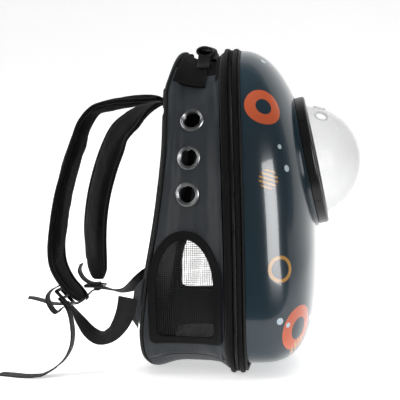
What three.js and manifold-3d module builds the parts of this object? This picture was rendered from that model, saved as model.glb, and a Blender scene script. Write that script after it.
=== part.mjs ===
// A pet carrier backpack: a moulded front shell with a round bubble window, a zip band,
// a cloth body with eyelets and arched mesh windows, and two padded shoulder straps.
// Millimetres. +X points out of the shell's front, -Y to the wearer's left, +Z up.
// The origin lies on the floor, under the rear flap of the zip band, on the middle plane.

import * as THREE from 'three';
import { mergeVertices } from 'three/addons/utils/BufferGeometryUtils.js';
import Module from 'manifold-3d';

const wasm = await Module();
wasm.setup();

// Overall sizes
const HEIGHT = 419;
const WIDTH = 320;
const BODY_DEPTH = 115.5;
const SHELL_DEPTH = 86.5;
const STRAP_REACH = 232;
const FIT = 0.3;

// The outline seen from the front: its widest height and how square its top and foot are
const WIDEST_SHARE = 0.465;
const TOP_ROUND = 2.3;
const FOOT_ROUND = 4.6;
const FOOT_FLAT = 3;

// The zip band, from the rear piping to the shell's rim
const BAND_FOOT_SHIFT = 3;
const BAND_SWEEP = 15;
const BAND_CURVE = 2.5;
const COIL_WIDTH = 5.4;
const FLAP_WIDTH = 5.7;
const FLAP_DEPTH = 13;
const FLAP_BEVEL = 1.2;
const COIL_RECESS = 2;
const COIL_THICK = 4;
const REAR_PIPING = 5;
const REAR_PIPING_INSET = 8;
const FRONT_PIPING = 4;
const FRONT_PIPING_INSET = 4.5;

// A zip slider's half width and height on the coil, and its pull's
const SLIDER_HALF = 4.6;
const SLIDER_HEIGHT = 3;
const PULL_HALF = 2.6;
const PULL_THICK = 1.6;

// The shell
const SHELL_WALL = 2.5;
const SHELL_INSET = 3;
const SHELL_FOOT = 10;
const SHELL_CROWN_HEIGHT = 185;
const SHELL_CORNER_ROUND = 3;
const SHELL_TOP_BEND = 2.2;
const SHELL_SIDE_BEND = 2.5;
const SHELL_FOOT_BEND = 3.6;

// The bubble window and the land round its aperture
const BUBBLE_X = 93.5;
const BUBBLE_Z = 271.3;
const BUBBLE_TILT = 11.7;
const RING_RADIUS = 85;
const RING_THICK = 13;
const RING_ROUND = 3;
const DOME_RADIUS = 74;
const DOME_SINK = 9;
const DOME_WALL = 2;
const SLEEVE_WALL = 3.7;
const APERTURE_RADIUS = 80.3;
const LAND_WIDTH = 7.7;
const LAND_DEPTH = 10;
const LUG_COUNT = 3;
const LUG_ANGLE = 16;
const LUG_REACH = 4.5;
const LUG_THICK = 3;
const LUG_TURN = 24;
const VENT_RADIUS = 7.8;
const VENT_POLAR = 63.5;
const VENT_SPREAD = 34;

// The cloth body
const CLOTH = 2.2;
const BACK_WIDTH = 284;
const BACK_PAD = 7;
const BACK_CROWN = 6;
const BACK_PIPING = 5;
const SEAM_TOP = 62;
const SEAM_FOOT = 60;
const SADDLE = 17;
const BELLY_LIFT = 7;
// The turn, in degrees, that keeps neighbouring panels about FIT apart
const SEAM_GAP = 0.35;

// Eyelets
const EYELET_RADIUS = 15.5;
const EYELET_BORE = 10.5;
const EYELET_RIM = 2.6;
const EYELET_LIP = 1.2;
const EYELET_BARREL = 1.5;
const EYELET_WASHER = 1.4;
// How far the flat under an eyelet lies below the curved cloth
const EYELET_SINK = 0.9;

// Arched mesh windows
const WINDOW_X = -61;
const WINDOW_HALF = 47;
const WINDOW_TOP = 185.5;
const WINDOW_SPRING = 116;
const WINDOW_SILL_NEAR = 40;
const WINDOW_SILL_FAR = 75;
const BINDING_WIDTH = 11;
const BINDING_THICK = 1.6;
const NET_THICK = 1.2;
const WINDOW_CORNER = 8;

// Handle, straps and webbing
const HANDLE_X = -45.5;
const HANDLE_WIDTH = 28;
const HANDLE_HEIGHT = 15;
const HANDLE_WALL = 2.2;
const HANDLE_SPAN = 96;
const HANDLE_CLEAR = 3.6;
const HANDLE_STRAP = 16;
const HANDLE_LAP = 8;
const HANDLE_DROP = 12;
const HANDLE_SEWN = 10;
const PATCH_THICK = 1.5;
const PATCH_FROM = 52;
const PATCH_TO = 80;
const PATCH_STATIONS = [0.28, 0.5, 0.73, 0.96];
const PAD_WIDTH = 60;
const PAD_THICK = 11;
const WEBBING_WIDTH = 25;
const WEBBING_THICK = 1.6;
const ADJUSTER_LENGTH = 28;
const ADJUSTER_WIDTH = 34;
const ADJUSTER_THICK = 4.4;
const ADJUSTER_BAR = 4;
const ADJUSTER_CORNER = 4;
const TAB_THICK = 3;
const YOKE_THICK = 3;
const YOKE_HALF = 72;
const YOKE_LOW = 0.809;
const YOKE_HIGH = 0.8687;

// Floor mat
const MAT_THICK = 25;
const MAT_WIDTH = 200;
const MAT_MARGIN = 16;
const MAT_REACH = 30;
const MAT_SLOPE = 5;
const MAT_CLEAR = 1.5;

// Smoothness
const BAND_STEPS = 32;
const ROUND_STEPS = 28;
const EYELET_STEPS = 12;

// Where the cloth body's rear seam stands: its height, and its distance behind the band
const BACK_LINE = [
  { up: 0.000, behind: 0.90 },
  { up: 0.050, behind: 0.985 },
  { up: 0.110, behind: 1.000 },
  { up: 0.150, behind: 0.990 },
  { up: 0.308, behind: 0.910 },
  { up: 0.440, behind: 0.825 },
  { up: 0.566, behind: 0.765 },
  { up: 0.687, behind: 0.732 },
  { up: 0.802, behind: 0.736 },
  { up: 0.866, behind: 0.740 },
  { up: 0.907, behind: 0.710 },
  { up: 0.976, behind: 0.650 },
  { up: 1.000, behind: 0.600 },
];

// Sections of the cloth body from the band (0) to the rear seam (1). inset is a share of the
// side's taper, saddle of SADDLE, lift of BELLY_LIFT, and round is the foot's squareness.
const BODY_SECTIONS = [
  { along: 0.00, inset: 0.28, saddle: 0.53, lift: 0.6, round: 4.4 },
  { along: 0.10, inset: 0.36, saddle: 0.95, lift: 1.0, round: 3.6 },
  { along: 0.35, inset: 0.50, saddle: 1.00, lift: 1.0, round: 3.0 },
  { along: 0.70, inset: 0.78, saddle: 0.75, lift: 0.9, round: 3.1 },
  { along: 1.00, inset: 1.00, saddle: 0.24, lift: 0.0, round: 3.4 },
];

// Eyelets, from the top one down: shares of BODY_DEPTH and HEIGHT
const EYELETS = [
  { behind: 0.465, up: 0.771 },
  { behind: 0.485, up: 0.659 },
  { behind: 0.497, up: 0.551 },
];

// Strap routes: back is a share of STRAP_REACH, side of half the WIDTH and up of HEIGHT.
// turn is the twist of the strap's width about its route, in degrees. The lower webbing starts
// from its ladder lock's middle: forward and drop are the millimetres to the body and down.
const PAD_LEFT = [
  { back: 0.431, side: -0.28, up: 0.838, turn: 0 },
  { back: 0.509, side: -0.28, up: 0.835, turn: 0 },
  { back: 0.612, side: -0.31, up: 0.831, turn: 0 },
  { back: 0.720, side: -0.36, up: 0.821, turn: 2 },
  { back: 0.800, side: -0.40, up: 0.802, turn: 4 },
  { back: 0.858, side: -0.44, up: 0.761, turn: 5 },
  { back: 0.897, side: -0.48, up: 0.697, turn: 5 },
  { back: 0.935, side: -0.51, up: 0.625, turn: 5 },
  { back: 0.970, side: -0.55, up: 0.544, turn: 6 },
  { back: 0.991, side: -0.59, up: 0.453, turn: 7 },
  { back: 1.000, side: -0.61, up: 0.377, turn: 7 },
  { back: 0.985, side: -0.63, up: 0.327, turn: 7 },
  { back: 0.940, side: -0.65, up: 0.282, turn: 5 },
  { back: 0.871, side: -0.66, up: 0.241, turn: 4 },
  { back: 0.828, side: -0.67, up: 0.220, turn: 4 },
];
const PAD_RIGHT = [
  { back: 0.432, side: 0.28, up: 0.837, turn: 0 },
  { back: 0.500, side: 0.28, up: 0.833, turn: -4 },
  { back: 0.570, side: 0.29, up: 0.817, turn: -15 },
  { back: 0.651, side: 0.32, up: 0.783, turn: -28 },
  { back: 0.746, side: 0.37, up: 0.737, turn: -36 },
  { back: 0.797, side: 0.41, up: 0.687, turn: -40 },
  { back: 0.853, side: 0.46, up: 0.611, turn: -40 },
  { back: 0.903, side: 0.51, up: 0.511, turn: -40 },
  { back: 0.927, side: 0.55, up: 0.408, turn: -40 },
  { back: 0.922, side: 0.575, up: 0.313, turn: -36 },
  { back: 0.916, side: 0.59, up: 0.265, turn: -32 },
  { back: 0.909, side: 0.59, up: 0.232, turn: -30 },
];
const LOOP_LEFT = [
  { back: 0.9631, side: -0.675, up: 0.2709 },
  { back: 0.988, side: -0.675, up: 0.2620 },
  { back: 1.020, side: -0.675, up: 0.2520 },
  { back: 1.041, side: -0.675, up: 0.2320 },
  { back: 1.025, side: -0.675, up: 0.2020 },
  { back: 0.990, side: -0.675, up: 0.1830 },
  { back: 0.9605, side: -0.675, up: 0.1975 },
];
const LOOP_RIGHT = [
  { back: 0.905, side: 0.59, up: 0.2235 },
  { back: 0.957, side: 0.59, up: 0.2235 },
  { back: 1.004, side: 0.59, up: 0.2380 },
  { back: 1.030, side: 0.59, up: 0.2650 },
  { back: 1.018, side: 0.59, up: 0.2880 },
];
const LOWER_LEFT = [
  { forward: 1.6, drop: 6.7, turn: 0 },
  { forward: 11.8, drop: 17.4, turn: 0 },
  { back: 0.862, side: -0.681, up: 0.165, turn: 15 },
  { back: 0.803, side: -0.700, up: 0.127, turn: 30 },
  { back: 0.745, side: -0.740, up: 0.113, turn: 34 },
  { back: 0.680, side: -0.790, up: 0.124, turn: 44 },
  { back: 0.625, side: -0.835, up: 0.155, turn: 62 },
  { back: 0.588, side: -0.855, up: 0.195, turn: 80 },
  { back: 0.572, side: -0.855, up: 0.240, turn: 90 },
];
const LOWER_RIGHT = [
  { forward: 0, drop: 3.35, turn: 0 },
  { forward: 13, drop: 3.8, turn: 0 },
  { back: 0.821, side: 0.64, up: 0.199, turn: -6 },
  { back: 0.781, side: 0.69, up: 0.198, turn: -18 },
  { back: 0.735, side: 0.75, up: 0.206, turn: -36 },
  { back: 0.680, side: 0.810, up: 0.222, turn: -60 },
  { back: 0.625, side: 0.852, up: 0.240, turn: -82 },
  { back: 0.572, side: 0.855, up: 0.255, turn: -90 },
];
const TAIL_LEFT = [
  { back: 0.974, side: -0.675, up: 0.2295 },
  { back: 0.943, side: -0.675, up: 0.211 },
  { back: 0.920, side: -0.675, up: 0.186 },
  { back: 0.907, side: -0.677, up: 0.153 },
  { back: 0.900, side: -0.688, up: 0.115 },
  { back: 0.907, side: -0.713, up: 0.080 },
  { back: 0.932, side: -0.750, up: 0.050 },
  { back: 0.972, side: -0.812, up: 0.027 },
  { back: 1.016, side: -0.875, up: 0.012 },
  { back: 1.063, side: -0.919, up: 0.003 },
  { back: 1.140, side: -0.906, up: 0.000 },
  { back: 1.211, side: -0.863, up: 0.000 },
  { back: 1.290, side: -0.825, up: 0.000 },
];
const TAIL_RIGHT = [
  { back: 0.900, side: 0.59, up: 0.2015 },
  { back: 0.940, side: 0.59, up: 0.2000 },
  { back: 0.976, side: 0.59, up: 0.183 },
  { back: 1.023, side: 0.59, up: 0.157 },
  { back: 1.101, side: 0.58, up: 0.151 },
  { back: 1.196, side: 0.562, up: 0.152 },
  { back: 1.253, side: 0.537, up: 0.163 },
  { back: 1.311, side: 0.519, up: 0.172 },
  { back: 1.340, side: 0.512, up: 0.174 },
];
// The ladder locks: place as above, pitch is how far the frame slopes down towards the body
const ADJUSTER_LEFT = { back: 0.944, side: -0.675, up: 0.2315, pitch: 46.7 };
const ADJUSTER_RIGHT = { back: 0.931, side: 0.59, up: 0.2150, pitch: 0 };

// The sewn tabs, seen from the side: reach behind the back panel as a share of TAB_REACH
const TAB_REACH = 14;
const TAB_HIGH = 126;
const TAB_SIDE = 132.6;
const TAB_SHAPE = [
  { reach: 0.0, up: 1.00 },
  { reach: 0.8, up: 0.90 },
  { reach: 0.8, up: 0.60 },
  { reach: 0.0, up: 0.49 },
];

const rad = THREE.MathUtils.degToRad;
const mix = THREE.MathUtils.lerp;
const WIDEST = WIDEST_SHARE * HEIGHT;

// Materials
function material(color, roughness, metalness = 0, extra = {}) {
  return new THREE.MeshStandardMaterial({ color, roughness, metalness, ...extra });
}
const NYLON = material(0x17181c, 0.85);
const NAVY_NYLON = material(0x161a22, 0.8);
const WEBBING = material(0x101013, 0.8);
const PIPING = material(0x141416, 0.7);
const ZIP = material(0x1b1b1d, 0.45);
const SHELL_PLASTIC = material(0x1f2c38, 0.15);
const BLACK_PLASTIC = material(0x1c1c1e, 0.4);
const CLEAR = material(0xe8eaec, 0.05, 0, { transparent: true, opacity: 0.3 });
const CHROME = material(0xb8babd, 0.2, 1);
const NET = material(0x0c0c0e, 0.8);
const FLEECE = material(0x8c8a88, 0.95);

// Closed bodies

// Triangles that close a flat or gently curved ring of points
function capFaces(ring) {
  const normal = new THREE.Vector3();
  ring.forEach((p, i) => {
    const q = ring[(i + 1) % ring.length];
    normal.x += (p.y - q.y) * (p.z + q.z);
    normal.y += (p.z - q.z) * (p.x + q.x);
    normal.z += (p.x - q.x) * (p.y + q.y);
  });
  normal.normalize();
  const side = new THREE.Vector3().subVectors(ring[1], ring[0]);
  side.addScaledVector(normal, -side.dot(normal)).normalize();
  const up = new THREE.Vector3().crossVectors(normal, side);
  const flat = ring.map((p) => new THREE.Vector2(p.dot(side), p.dot(up)));
  return THREE.ShapeUtils.triangulateShape(flat, []);
}

// Shared vertices, no empty triangles, and faces that point out
function tidy(geometry) {
  geometry.deleteAttribute('normal');
  geometry.deleteAttribute('uv');
  const merged = mergeVertices(geometry, 1e-3);
  const at = merged.getAttribute('position');
  const old = merged.getIndex().array;
  const kept = [];
  let volume = 0;
  const [a, b, c] = [new THREE.Vector3(), new THREE.Vector3(), new THREE.Vector3()];
  for (let i = 0; i < old.length; i += 3) {
    const [p, q, r] = [old[i], old[i + 1], old[i + 2]];
    if (p === q || q === r || r === p) continue;
    kept.push(p, q, r);
    a.fromBufferAttribute(at, p);
    b.fromBufferAttribute(at, q);
    c.fromBufferAttribute(at, r);
    volume += a.dot(b.cross(c));
  }
  if (volume < 0) kept.reverse();
  merged.setIndex(kept);
  return merged;
}

// A body through a row of rings of points, closed on itself or capped at both ends
function loft(rings, closed = false) {
  const count = rings[0].length;
  const points = rings.flat();
  const faces = [];
  const last = closed ? rings.length : rings.length - 1;
  for (let i = 0; i < last; i += 1) {
    const here = i * count;
    const next = ((i + 1) % rings.length) * count;
    for (let j = 0; j < count; j += 1) {
      const k = (j + 1) % count;
      faces.push(here + j, next + j, next + k, here + j, next + k, here + k);
    }
  }
  if (!closed) {
    const end = (rings.length - 1) * count;
    capFaces(rings[0]).forEach(([p, q, r]) => {
      faces.push(p, q, r, end + r, end + q, end + p);
    });
  }
  const geometry = new THREE.BufferGeometry().setFromPoints(points);
  geometry.setIndex(faces);
  return tidy(geometry);
}

function solid(geometry) {
  const merged = tidy(geometry);
  return new wasm.Manifold(new wasm.Mesh({
    numProp: 3,
    vertProperties: new Float32Array(merged.getAttribute('position').array),
    triVerts: new Uint32Array(merged.getIndex().array),
  }));
}

function fromSolid(body) {
  const mesh = body.getMesh();
  const geometry = new THREE.BufferGeometry();
  geometry.setAttribute('position', new THREE.BufferAttribute(mesh.vertProperties, 3));
  geometry.setIndex(Array.from(mesh.triVerts));
  return geometry;
}

function range(count, from, to) {
  return Array.from({ length: count }, (_, i) => mix(from, to, i / (count - 1)));
}

function turns(count) {
  return Array.from({ length: count }, (_, i) => (i / count) * 2 * Math.PI);
}

// A smooth value between the rows of a table
function smooth(rows, key, column, value) {
  const at = THREE.MathUtils.clamp(value, rows[0][key], rows[rows.length - 1][key]);
  let i = 0;
  while (i < rows.length - 2 && rows[i + 1][key] < at) i += 1;
  const row = (k) => rows[THREE.MathUtils.clamp(k, 0, rows.length - 1)];
  const slope = (k) => (row(k + 1)[column] - row(k - 1)[column])
    / (row(k + 1)[key] - row(k - 1)[key]);
  const span = rows[i + 1][key] - rows[i][key];
  const u = (at - rows[i][key]) / span;
  const hermite = [2 * u ** 3 - 3 * u ** 2 + 1, u ** 3 - 2 * u ** 2 + u,
    3 * u ** 2 - 2 * u ** 3, u ** 3 - u ** 2];
  return hermite[0] * row(i)[column] + hermite[1] * span * slope(i)
    + hermite[2] * row(i + 1)[column] + hermite[3] * span * slope(i + 1);
}

// The outline seen from the front, at a turn about the X axis: 0 is +Y and a quarter is up
function outline(turn, shape) {
  const [c, s] = [Math.cos(turn), Math.sin(turn)];
  const round = s >= 0 ? TOP_ROUND : shape.round;
  const half = s >= 0 ? shape.top - WIDEST : WIDEST - shape.foot;
  const y = shape.half * Math.sign(c) * Math.abs(c) ** (2 / round);
  const z = WIDEST + half * Math.sign(s) * Math.abs(s) ** (2 / round);
  return [y, Math.max(z, shape.floor)];
}

function bandShape(inset) {
  return {
    half: WIDTH / 2 - inset,
    top: HEIGHT - inset,
    foot: inset - FOOT_FLAT,
    floor: inset,
    round: FOOT_ROUND,
  };
}

// The band sweeps back towards its top
function bandX(z) {
  return BAND_FOOT_SHIFT - BAND_SWEEP * Math.max(z / HEIGHT, 0) ** BAND_CURVE;
}

const FLAP_REAR_X = -COIL_WIDTH / 2 - FIT - FLAP_WIDTH;
const REAR_PIPING_X = FLAP_REAR_X - FIT - REAR_PIPING / 2;
const BODY_FRONT_X = REAR_PIPING_X - REAR_PIPING / 2 - FIT;
const FLAP_FRONT_X = COIL_WIDTH / 2 + FIT;
const FRONT_PIPING_X = FLAP_FRONT_X + FLAP_WIDTH + FIT + FRONT_PIPING / 2;
const RIM_X = FRONT_PIPING_X + FRONT_PIPING / 2 + FIT;

// The origin lies under the middle of the rear flap's foot
const ORIGIN_X = BAND_FOOT_SHIFT + FLAP_REAR_X + FLAP_WIDTH / 2;

// A loop round the carrier with a section given as distances along x and in from the outline
function bandLoop(section) {
  return loft(turns(BAND_STEPS).map((turn) => section.map(([x, inset]) => {
    const [y, z] = outline(turn, bandShape(inset));
    return new THREE.Vector3(bandX(z) + x, y, z);
  })), true);
}

// A round bead's section, kept flat where it meets the floor by the outline itself
function beadSection(x, inset, size) {
  return turns(6).map((turn) => [
    x + size / 2 * Math.sin(turn), inset - size / 2 * Math.cos(turn),
  ]);
}

function flapSection(x) {
  const bevel = FLAP_BEVEL;
  return [
    [x, FLAP_DEPTH], [x + FLAP_WIDTH, FLAP_DEPTH],
    [x + FLAP_WIDTH, bevel], [x + FLAP_WIDTH - bevel, 0],
    [x + bevel, 0], [x, bevel],
  ];
}

function coilSection() {
  const half = COIL_WIDTH / 2;
  const deep = COIL_RECESS + COIL_THICK;
  return [[-half, deep], [half, deep], [half, COIL_RECESS], [-half, COIL_RECESS]];
}

// A slider on the coil at a turn about the X axis, with its pull hanging below it
function zipSlider(turn) {
  const stretch = (from, to, section) => solid(loft(range(3, rad(from), rad(to)).map(
    (at) => section.map(([x, inset]) => {
      const [y, z] = outline(at, bandShape(inset));
      return new THREE.Vector3(bandX(z) + x, y, z);
    }),
  )));
  const neck = COIL_WIDTH / 2 - FIT;
  const body = stretch(turn, turn + 5, [
    [-neck, COIL_RECESS - FIT], [neck, COIL_RECESS - FIT], [neck, -FIT], [SLIDER_HALF, -FIT],
    [SLIDER_HALF, -SLIDER_HEIGHT], [-SLIDER_HALF, -SLIDER_HEIGHT],
    [-SLIDER_HALF, -FIT], [-neck, -FIT],
  ]);
  const low = -SLIDER_HEIGHT + 0.2;
  const pull = stretch(turn - 9, turn + 3, [
    [-PULL_HALF, low], [PULL_HALF, low], [PULL_HALF, low - PULL_THICK], [-PULL_HALF, low - PULL_THICK],
  ]);
  return fromSolid(body.add(pull));
}

// The shell's surface, inset by a wall: hoop is the turn about X, climb runs rim to crown
function shellPoint(hoop, climb, wall) {
  const [c, s] = [Math.cos(hoop), Math.sin(hoop)];
  const upper = s >= 0;
  const bend = mix(SHELL_SIDE_BEND, upper ? SHELL_TOP_BEND : SHELL_FOOT_BEND, Math.abs(s));
  const rho = Math.cos(climb) ** (2 / bend);
  const corner = mix(SHELL_CORNER_ROUND, FOOT_ROUND, rho ** 4);
  const round = upper ? TOP_ROUND : corner;
  const half = WIDTH / 2 - SHELL_INSET - wall;
  const rise = upper ? HEIGHT - SHELL_INSET - wall - SHELL_CROWN_HEIGHT
    : SHELL_CROWN_HEIGHT - SHELL_FOOT - wall;
  const y = rho * half * Math.sign(c) * Math.abs(c) ** (2 / round);
  const z = SHELL_CROWN_HEIGHT + rho * rise * Math.sign(s) * Math.abs(s) ** (2 / round);
  const out = (SHELL_DEPTH - wall) * Math.sin(climb) ** (2 / bend);
  return new THREE.Vector3(bandX(z) + RIM_X + out, y, z);
}

// A ring or tube about the bubble's axis: rows of radius and height along the axis
function lathe(profile, steps = ROUND_STEPS) {
  const closed = [...profile, profile[0]];
  const points = closed.map(([r, h]) => new THREE.Vector2(r, h));
  return tidy(new THREE.LatheGeometry(points, steps));
}

// Lathe axes point up the Y axis; this lays them along the bubble's axis
function onBubble(geometry) {
  geometry.rotateZ(-Math.PI / 2);
  geometry.rotateY(-rad(BUBBLE_TILT));
  geometry.translate(BUBBLE_X, 0, BUBBLE_Z);
  return geometry;
}

const RING_BACK = -RING_THICK / 2;
const LAND_FRONT = RING_BACK - FIT;
const LAND_BACK = LAND_FRONT - LAND_DEPTH;
// The sleeve turns inside the aperture, so its corners stay within the aperture's flats
const SLEEVE_RADIUS = APERTURE_RADIUS * Math.cos(Math.PI / ROUND_STEPS) - FIT;
const LUG_BACK = LAND_BACK - FIT - LUG_THICK;

// A sector of a ring about the bubble's axis, closed on all sides
function sector(inner, outer, low, high, from, to) {
  return onBubble(loft(range(5, rad(from), rad(to)).map((turn) => [
    [inner, low], [outer, low], [outer, high], [inner, high],
  ].map(([r, h]) => new THREE.Vector3(r * Math.cos(turn), h, r * Math.sin(turn))))));
}

function tube(inner, outer, low, high) {
  return onBubble(lathe([[inner, low], [outer, low], [outer, high], [inner, high]]));
}

function disc(radius, low, high) {
  return onBubble(tidy(new THREE.CylinderGeometry(radius, radius, high - low, ROUND_STEPS)
    .translate(0, (low + high) / 2, 0)));
}

function lugTurns() {
  return Array.from({ length: LUG_COUNT }, (_, i) => (i / LUG_COUNT) * 360 + 60);
}

// The shell with its land, the round aperture and the notches that let the lugs through
function shell() {
  const climbs = range(7, 0, Math.PI / 2);
  const body = solid(loft(turns(ROUND_STEPS).map((hoop) => [
    ...climbs.map((climb) => shellPoint(hoop, climb, 0)),
    ...climbs.slice().reverse().map((climb) => shellPoint(hoop, climb, SHELL_WALL)),
  ]), true));
  const land = solid(tube(APERTURE_RADIUS - 1, APERTURE_RADIUS + LAND_WIDTH, LAND_BACK, LAND_FRONT));
  const front = solid(disc(APERTURE_RADIUS + LAND_WIDTH, LAND_FRONT, LAND_FRONT + 40));
  const bore = solid(disc(APERTURE_RADIUS, LAND_BACK - 60, LAND_FRONT + 20));
  let cut = body.add(land).subtract(front).subtract(bore);
  lugTurns().forEach((turn) => {
    const from = turn + LUG_TURN - LUG_ANGLE / 2 - 1;
    const to = turn + LUG_TURN + LUG_ANGLE / 2 + 1;
    const reach = APERTURE_RADIUS + LUG_REACH;
    cut = cut.subtract(solid(sector(APERTURE_RADIUS - 2, reach, LAND_BACK - 1, LAND_FRONT - 2, from, to)));
  });
  return fromSolid(cut);
}

// The bubble's ring: a rounded face, a sleeve in the aperture, and lugs behind the land
function bubbleRing() {
  const inner = DOME_RADIUS + FIT;
  const half = RING_THICK / 2;
  const bevel = RING_ROUND;
  const ring = solid(onBubble(lathe([
    [SLEEVE_RADIUS - SLEEVE_WALL, LUG_BACK], [SLEEVE_RADIUS, LUG_BACK], [SLEEVE_RADIUS, -half],
    [RING_RADIUS, -half], [RING_RADIUS, half - bevel],
    [RING_RADIUS - bevel * 0.3, half - bevel * 0.3], [RING_RADIUS - bevel, half],
    [inner, half], [inner, 1 - half], [SLEEVE_RADIUS - SLEEVE_WALL, 1 - half],
  ])));
  return fromSolid(lugTurns().reduce((body, turn) => body.add(solid(sector(
    SLEEVE_RADIUS - 1, APERTURE_RADIUS + LUG_REACH - 0.6, LUG_BACK, LUG_BACK + LUG_THICK,
    turn - LUG_ANGLE / 2, turn + LUG_ANGLE / 2,
  ))), ring));
}

// A clear half sphere with three round vents near its top
function dome() {
  const base = Math.asin((DOME_SINK - RING_THICK / 2 + 1 + FIT) / DOME_RADIUS);
  const arc = range(7, base, Math.PI / 2);
  const inside = DOME_RADIUS - DOME_WALL;
  const foot = Math.asin(DOME_RADIUS * Math.sin(base) / inside);
  const inner = range(6, Math.PI / 2, foot);
  const profile = [
    ...arc.map((a) => [DOME_RADIUS * Math.cos(a), DOME_RADIUS * Math.sin(a) - DOME_SINK]),
    ...inner.map((a) => [inside * Math.cos(a), inside * Math.sin(a) - DOME_SINK]),
  ];
  const clean = profile.map(([r, h]) => [Math.max(r, 0), h]);
  const cap = solid(onBubble(lathe(clean)));
  const vents = [-VENT_SPREAD, 0, VENT_SPREAD].map((spread) => {
    const drill = new THREE.CylinderGeometry(VENT_RADIUS, VENT_RADIUS, 20, 12);
    drill.translate(0, DOME_RADIUS, 0);
    drill.rotateX(rad(VENT_POLAR));
    drill.rotateY(rad(spread));
    drill.translate(0, -DOME_SINK, 0);
    return solid(onBubble(tidy(drill)));
  });
  return fromSolid(vents.reduce((body, vent) => body.subtract(vent), cap));
}

// The cloth body

// The rear seam's place along X at a height
function backX(z) {
  return -BODY_DEPTH * smooth(BACK_LINE, 'up', 'behind', z / HEIGHT);
}

// The body's outline at a station between the band and the rear seam
function bodyShape(along, inset) {
  const at = (column) => smooth(BODY_SECTIONS, 'along', column, along);
  const taper = (WIDTH - BACK_WIDTH) / 2;
  return {
    half: WIDTH / 2 - taper * at('inset') - inset,
    top: HEIGHT - SADDLE * at('saddle') - inset,
    foot: BELLY_LIFT * at('lift') + inset,
    floor: inset,
    round: at('round'),
  };
}

function bodyFrontX(z) {
  return bandX(z) + BODY_FRONT_X;
}

function bodyPoint(turn, along, inset) {
  const [y, z] = outline(turn, bodyShape(along, inset));
  return new THREE.Vector3(mix(bodyFrontX(z), backX(z), along), y, z);
}

// Half the body's width at a place on its side
function sideY(x, z) {
  const along = (bodyFrontX(z) - x) / (bodyFrontX(z) - backX(z));
  const shape = bodyShape(along, 0);
  const upper = z >= WIDEST;
  const round = upper ? TOP_ROUND : shape.round;
  const half = upper ? shape.top - WIDEST : WIDEST - shape.foot;
  return shape.half * (1 - (Math.abs(z - WIDEST) / half) ** round) ** (1 / round);
}

const ALONG = [0, 0.07, 0.2, 0.45, 0.75, 1];

// A curved panel of the body between two turns, with its two faces at given insets
function bodyPanel(from, to, steps, outer, inner, stations = ALONG) {
  return loft(range(steps, rad(from), rad(to)).map((turn) => [
    ...stations.map((along) => bodyPoint(turn, along, outer)),
    ...stations.slice().reverse().map((along) => bodyPoint(turn, along, inner)),
  ]));
}

function eyeletPlace(row, side) {
  const x = -row.behind * BODY_DEPTH;
  const z = row.up * HEIGHT;
  const step = 1;
  const slopeX = (sideY(x + step, z) - sideY(x - step, z)) / (2 * step);
  const slopeZ = (sideY(x, z + step) - sideY(x, z - step)) / (2 * step);
  const normal = new THREE.Vector3(-slopeX, side, -slopeZ).normalize();
  const turn = new THREE.Quaternion().setFromUnitVectors(new THREE.Vector3(0, 1, 0), normal);
  const seat = new THREE.Vector3(x, side * sideY(x, z), z).addScaledVector(normal, -EYELET_SINK);
  return new THREE.Matrix4().compose(seat, turn, new THREE.Vector3(1, 1, 1));
}

function drum(radius, low, high, steps = EYELET_STEPS) {
  return new THREE.CylinderGeometry(radius, radius, high - low, steps)
    .translate(0, (low + high) / 2, 0);
}

function eyelet(row, side) {
  const barrel = EYELET_BORE + EYELET_BARREL;
  const washer = EYELET_RADIUS - EYELET_BARREL;
  const front = -CLOTH - FIT;
  const back = front - EYELET_WASHER;
  const geometry = lathe([
    [EYELET_BORE, back], [washer, back], [washer, front],
    [barrel, front], [barrel, FIT], [EYELET_RADIUS, FIT],
    [EYELET_RADIUS - 2, EYELET_RIM], [EYELET_BORE, EYELET_LIP],
  ], EYELET_STEPS);
  return geometry.applyMatrix4(eyeletPlace(row, side));
}

function sillHeight(side) {
  return side < 0 ? WINDOW_SILL_NEAR : WINDOW_SILL_FAR;
}

// The arched window's outline at an inset from its outer edge, as places on the side
function windowOutline(side, inset) {
  const half = WINDOW_HALF - inset;
  const rise = WINDOW_TOP - WINDOW_SPRING - inset;
  const sill = sillHeight(side) + inset;
  const corner = WINDOW_CORNER;
  const arch = range(15, 0, Math.PI).map((turn) => [
    WINDOW_X + half * Math.cos(turn), WINDOW_SPRING + rise * Math.sin(turn),
  ]);
  const sides = range(5, WINDOW_SPRING, sill + corner).slice(1);
  const foot = [
    [-half + corner * 0.3, sill + corner * 0.3], [-half + corner, sill], [0, sill],
    [half - corner, sill], [half - corner * 0.3, sill + corner * 0.3],
  ].map(([x, z]) => [WINDOW_X + x, z]);
  return [
    ...arch,
    ...sides.map((z) => [WINDOW_X - half, z]),
    ...foot,
    ...sides.slice().reverse().map((z) => [WINDOW_X + half, z]),
  ];
}

function windowCutter(side) {
  const shape = new THREE.Shape(windowOutline(side, BINDING_WIDTH / 2)
    .map(([x, z]) => new THREE.Vector2(x, z)));
  const prism = new THREE.ExtrudeGeometry(shape, { depth: 140, bevelEnabled: false });
  prism.rotateX(Math.PI / 2);
  prism.translate(0, side < 0 ? -50 : 190, 0);
  return solid(prism);
}

function sidePanel(side) {
  const [from, to] = side > 0 ? [-SEAM_FOOT, SEAM_TOP] : [180 - SEAM_TOP, 180 + SEAM_FOOT];
  let body = solid(bodyPanel(from + SEAM_GAP, to - SEAM_GAP, 14, 0, CLOTH));
  body = body.subtract(windowCutter(side));
  EYELETS.forEach((row) => {
    const place = eyeletPlace(row, side);
    const cut = (radius, low, high) => {
      body = body.subtract(solid(drum(radius, low, high).applyMatrix4(place)));
    };
    cut(EYELET_BORE + EYELET_BARREL + FIT, -20, 20);
    cut(EYELET_RADIUS + FIT, 0, 20);
  });
  return fromSolid(body);
}

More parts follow.
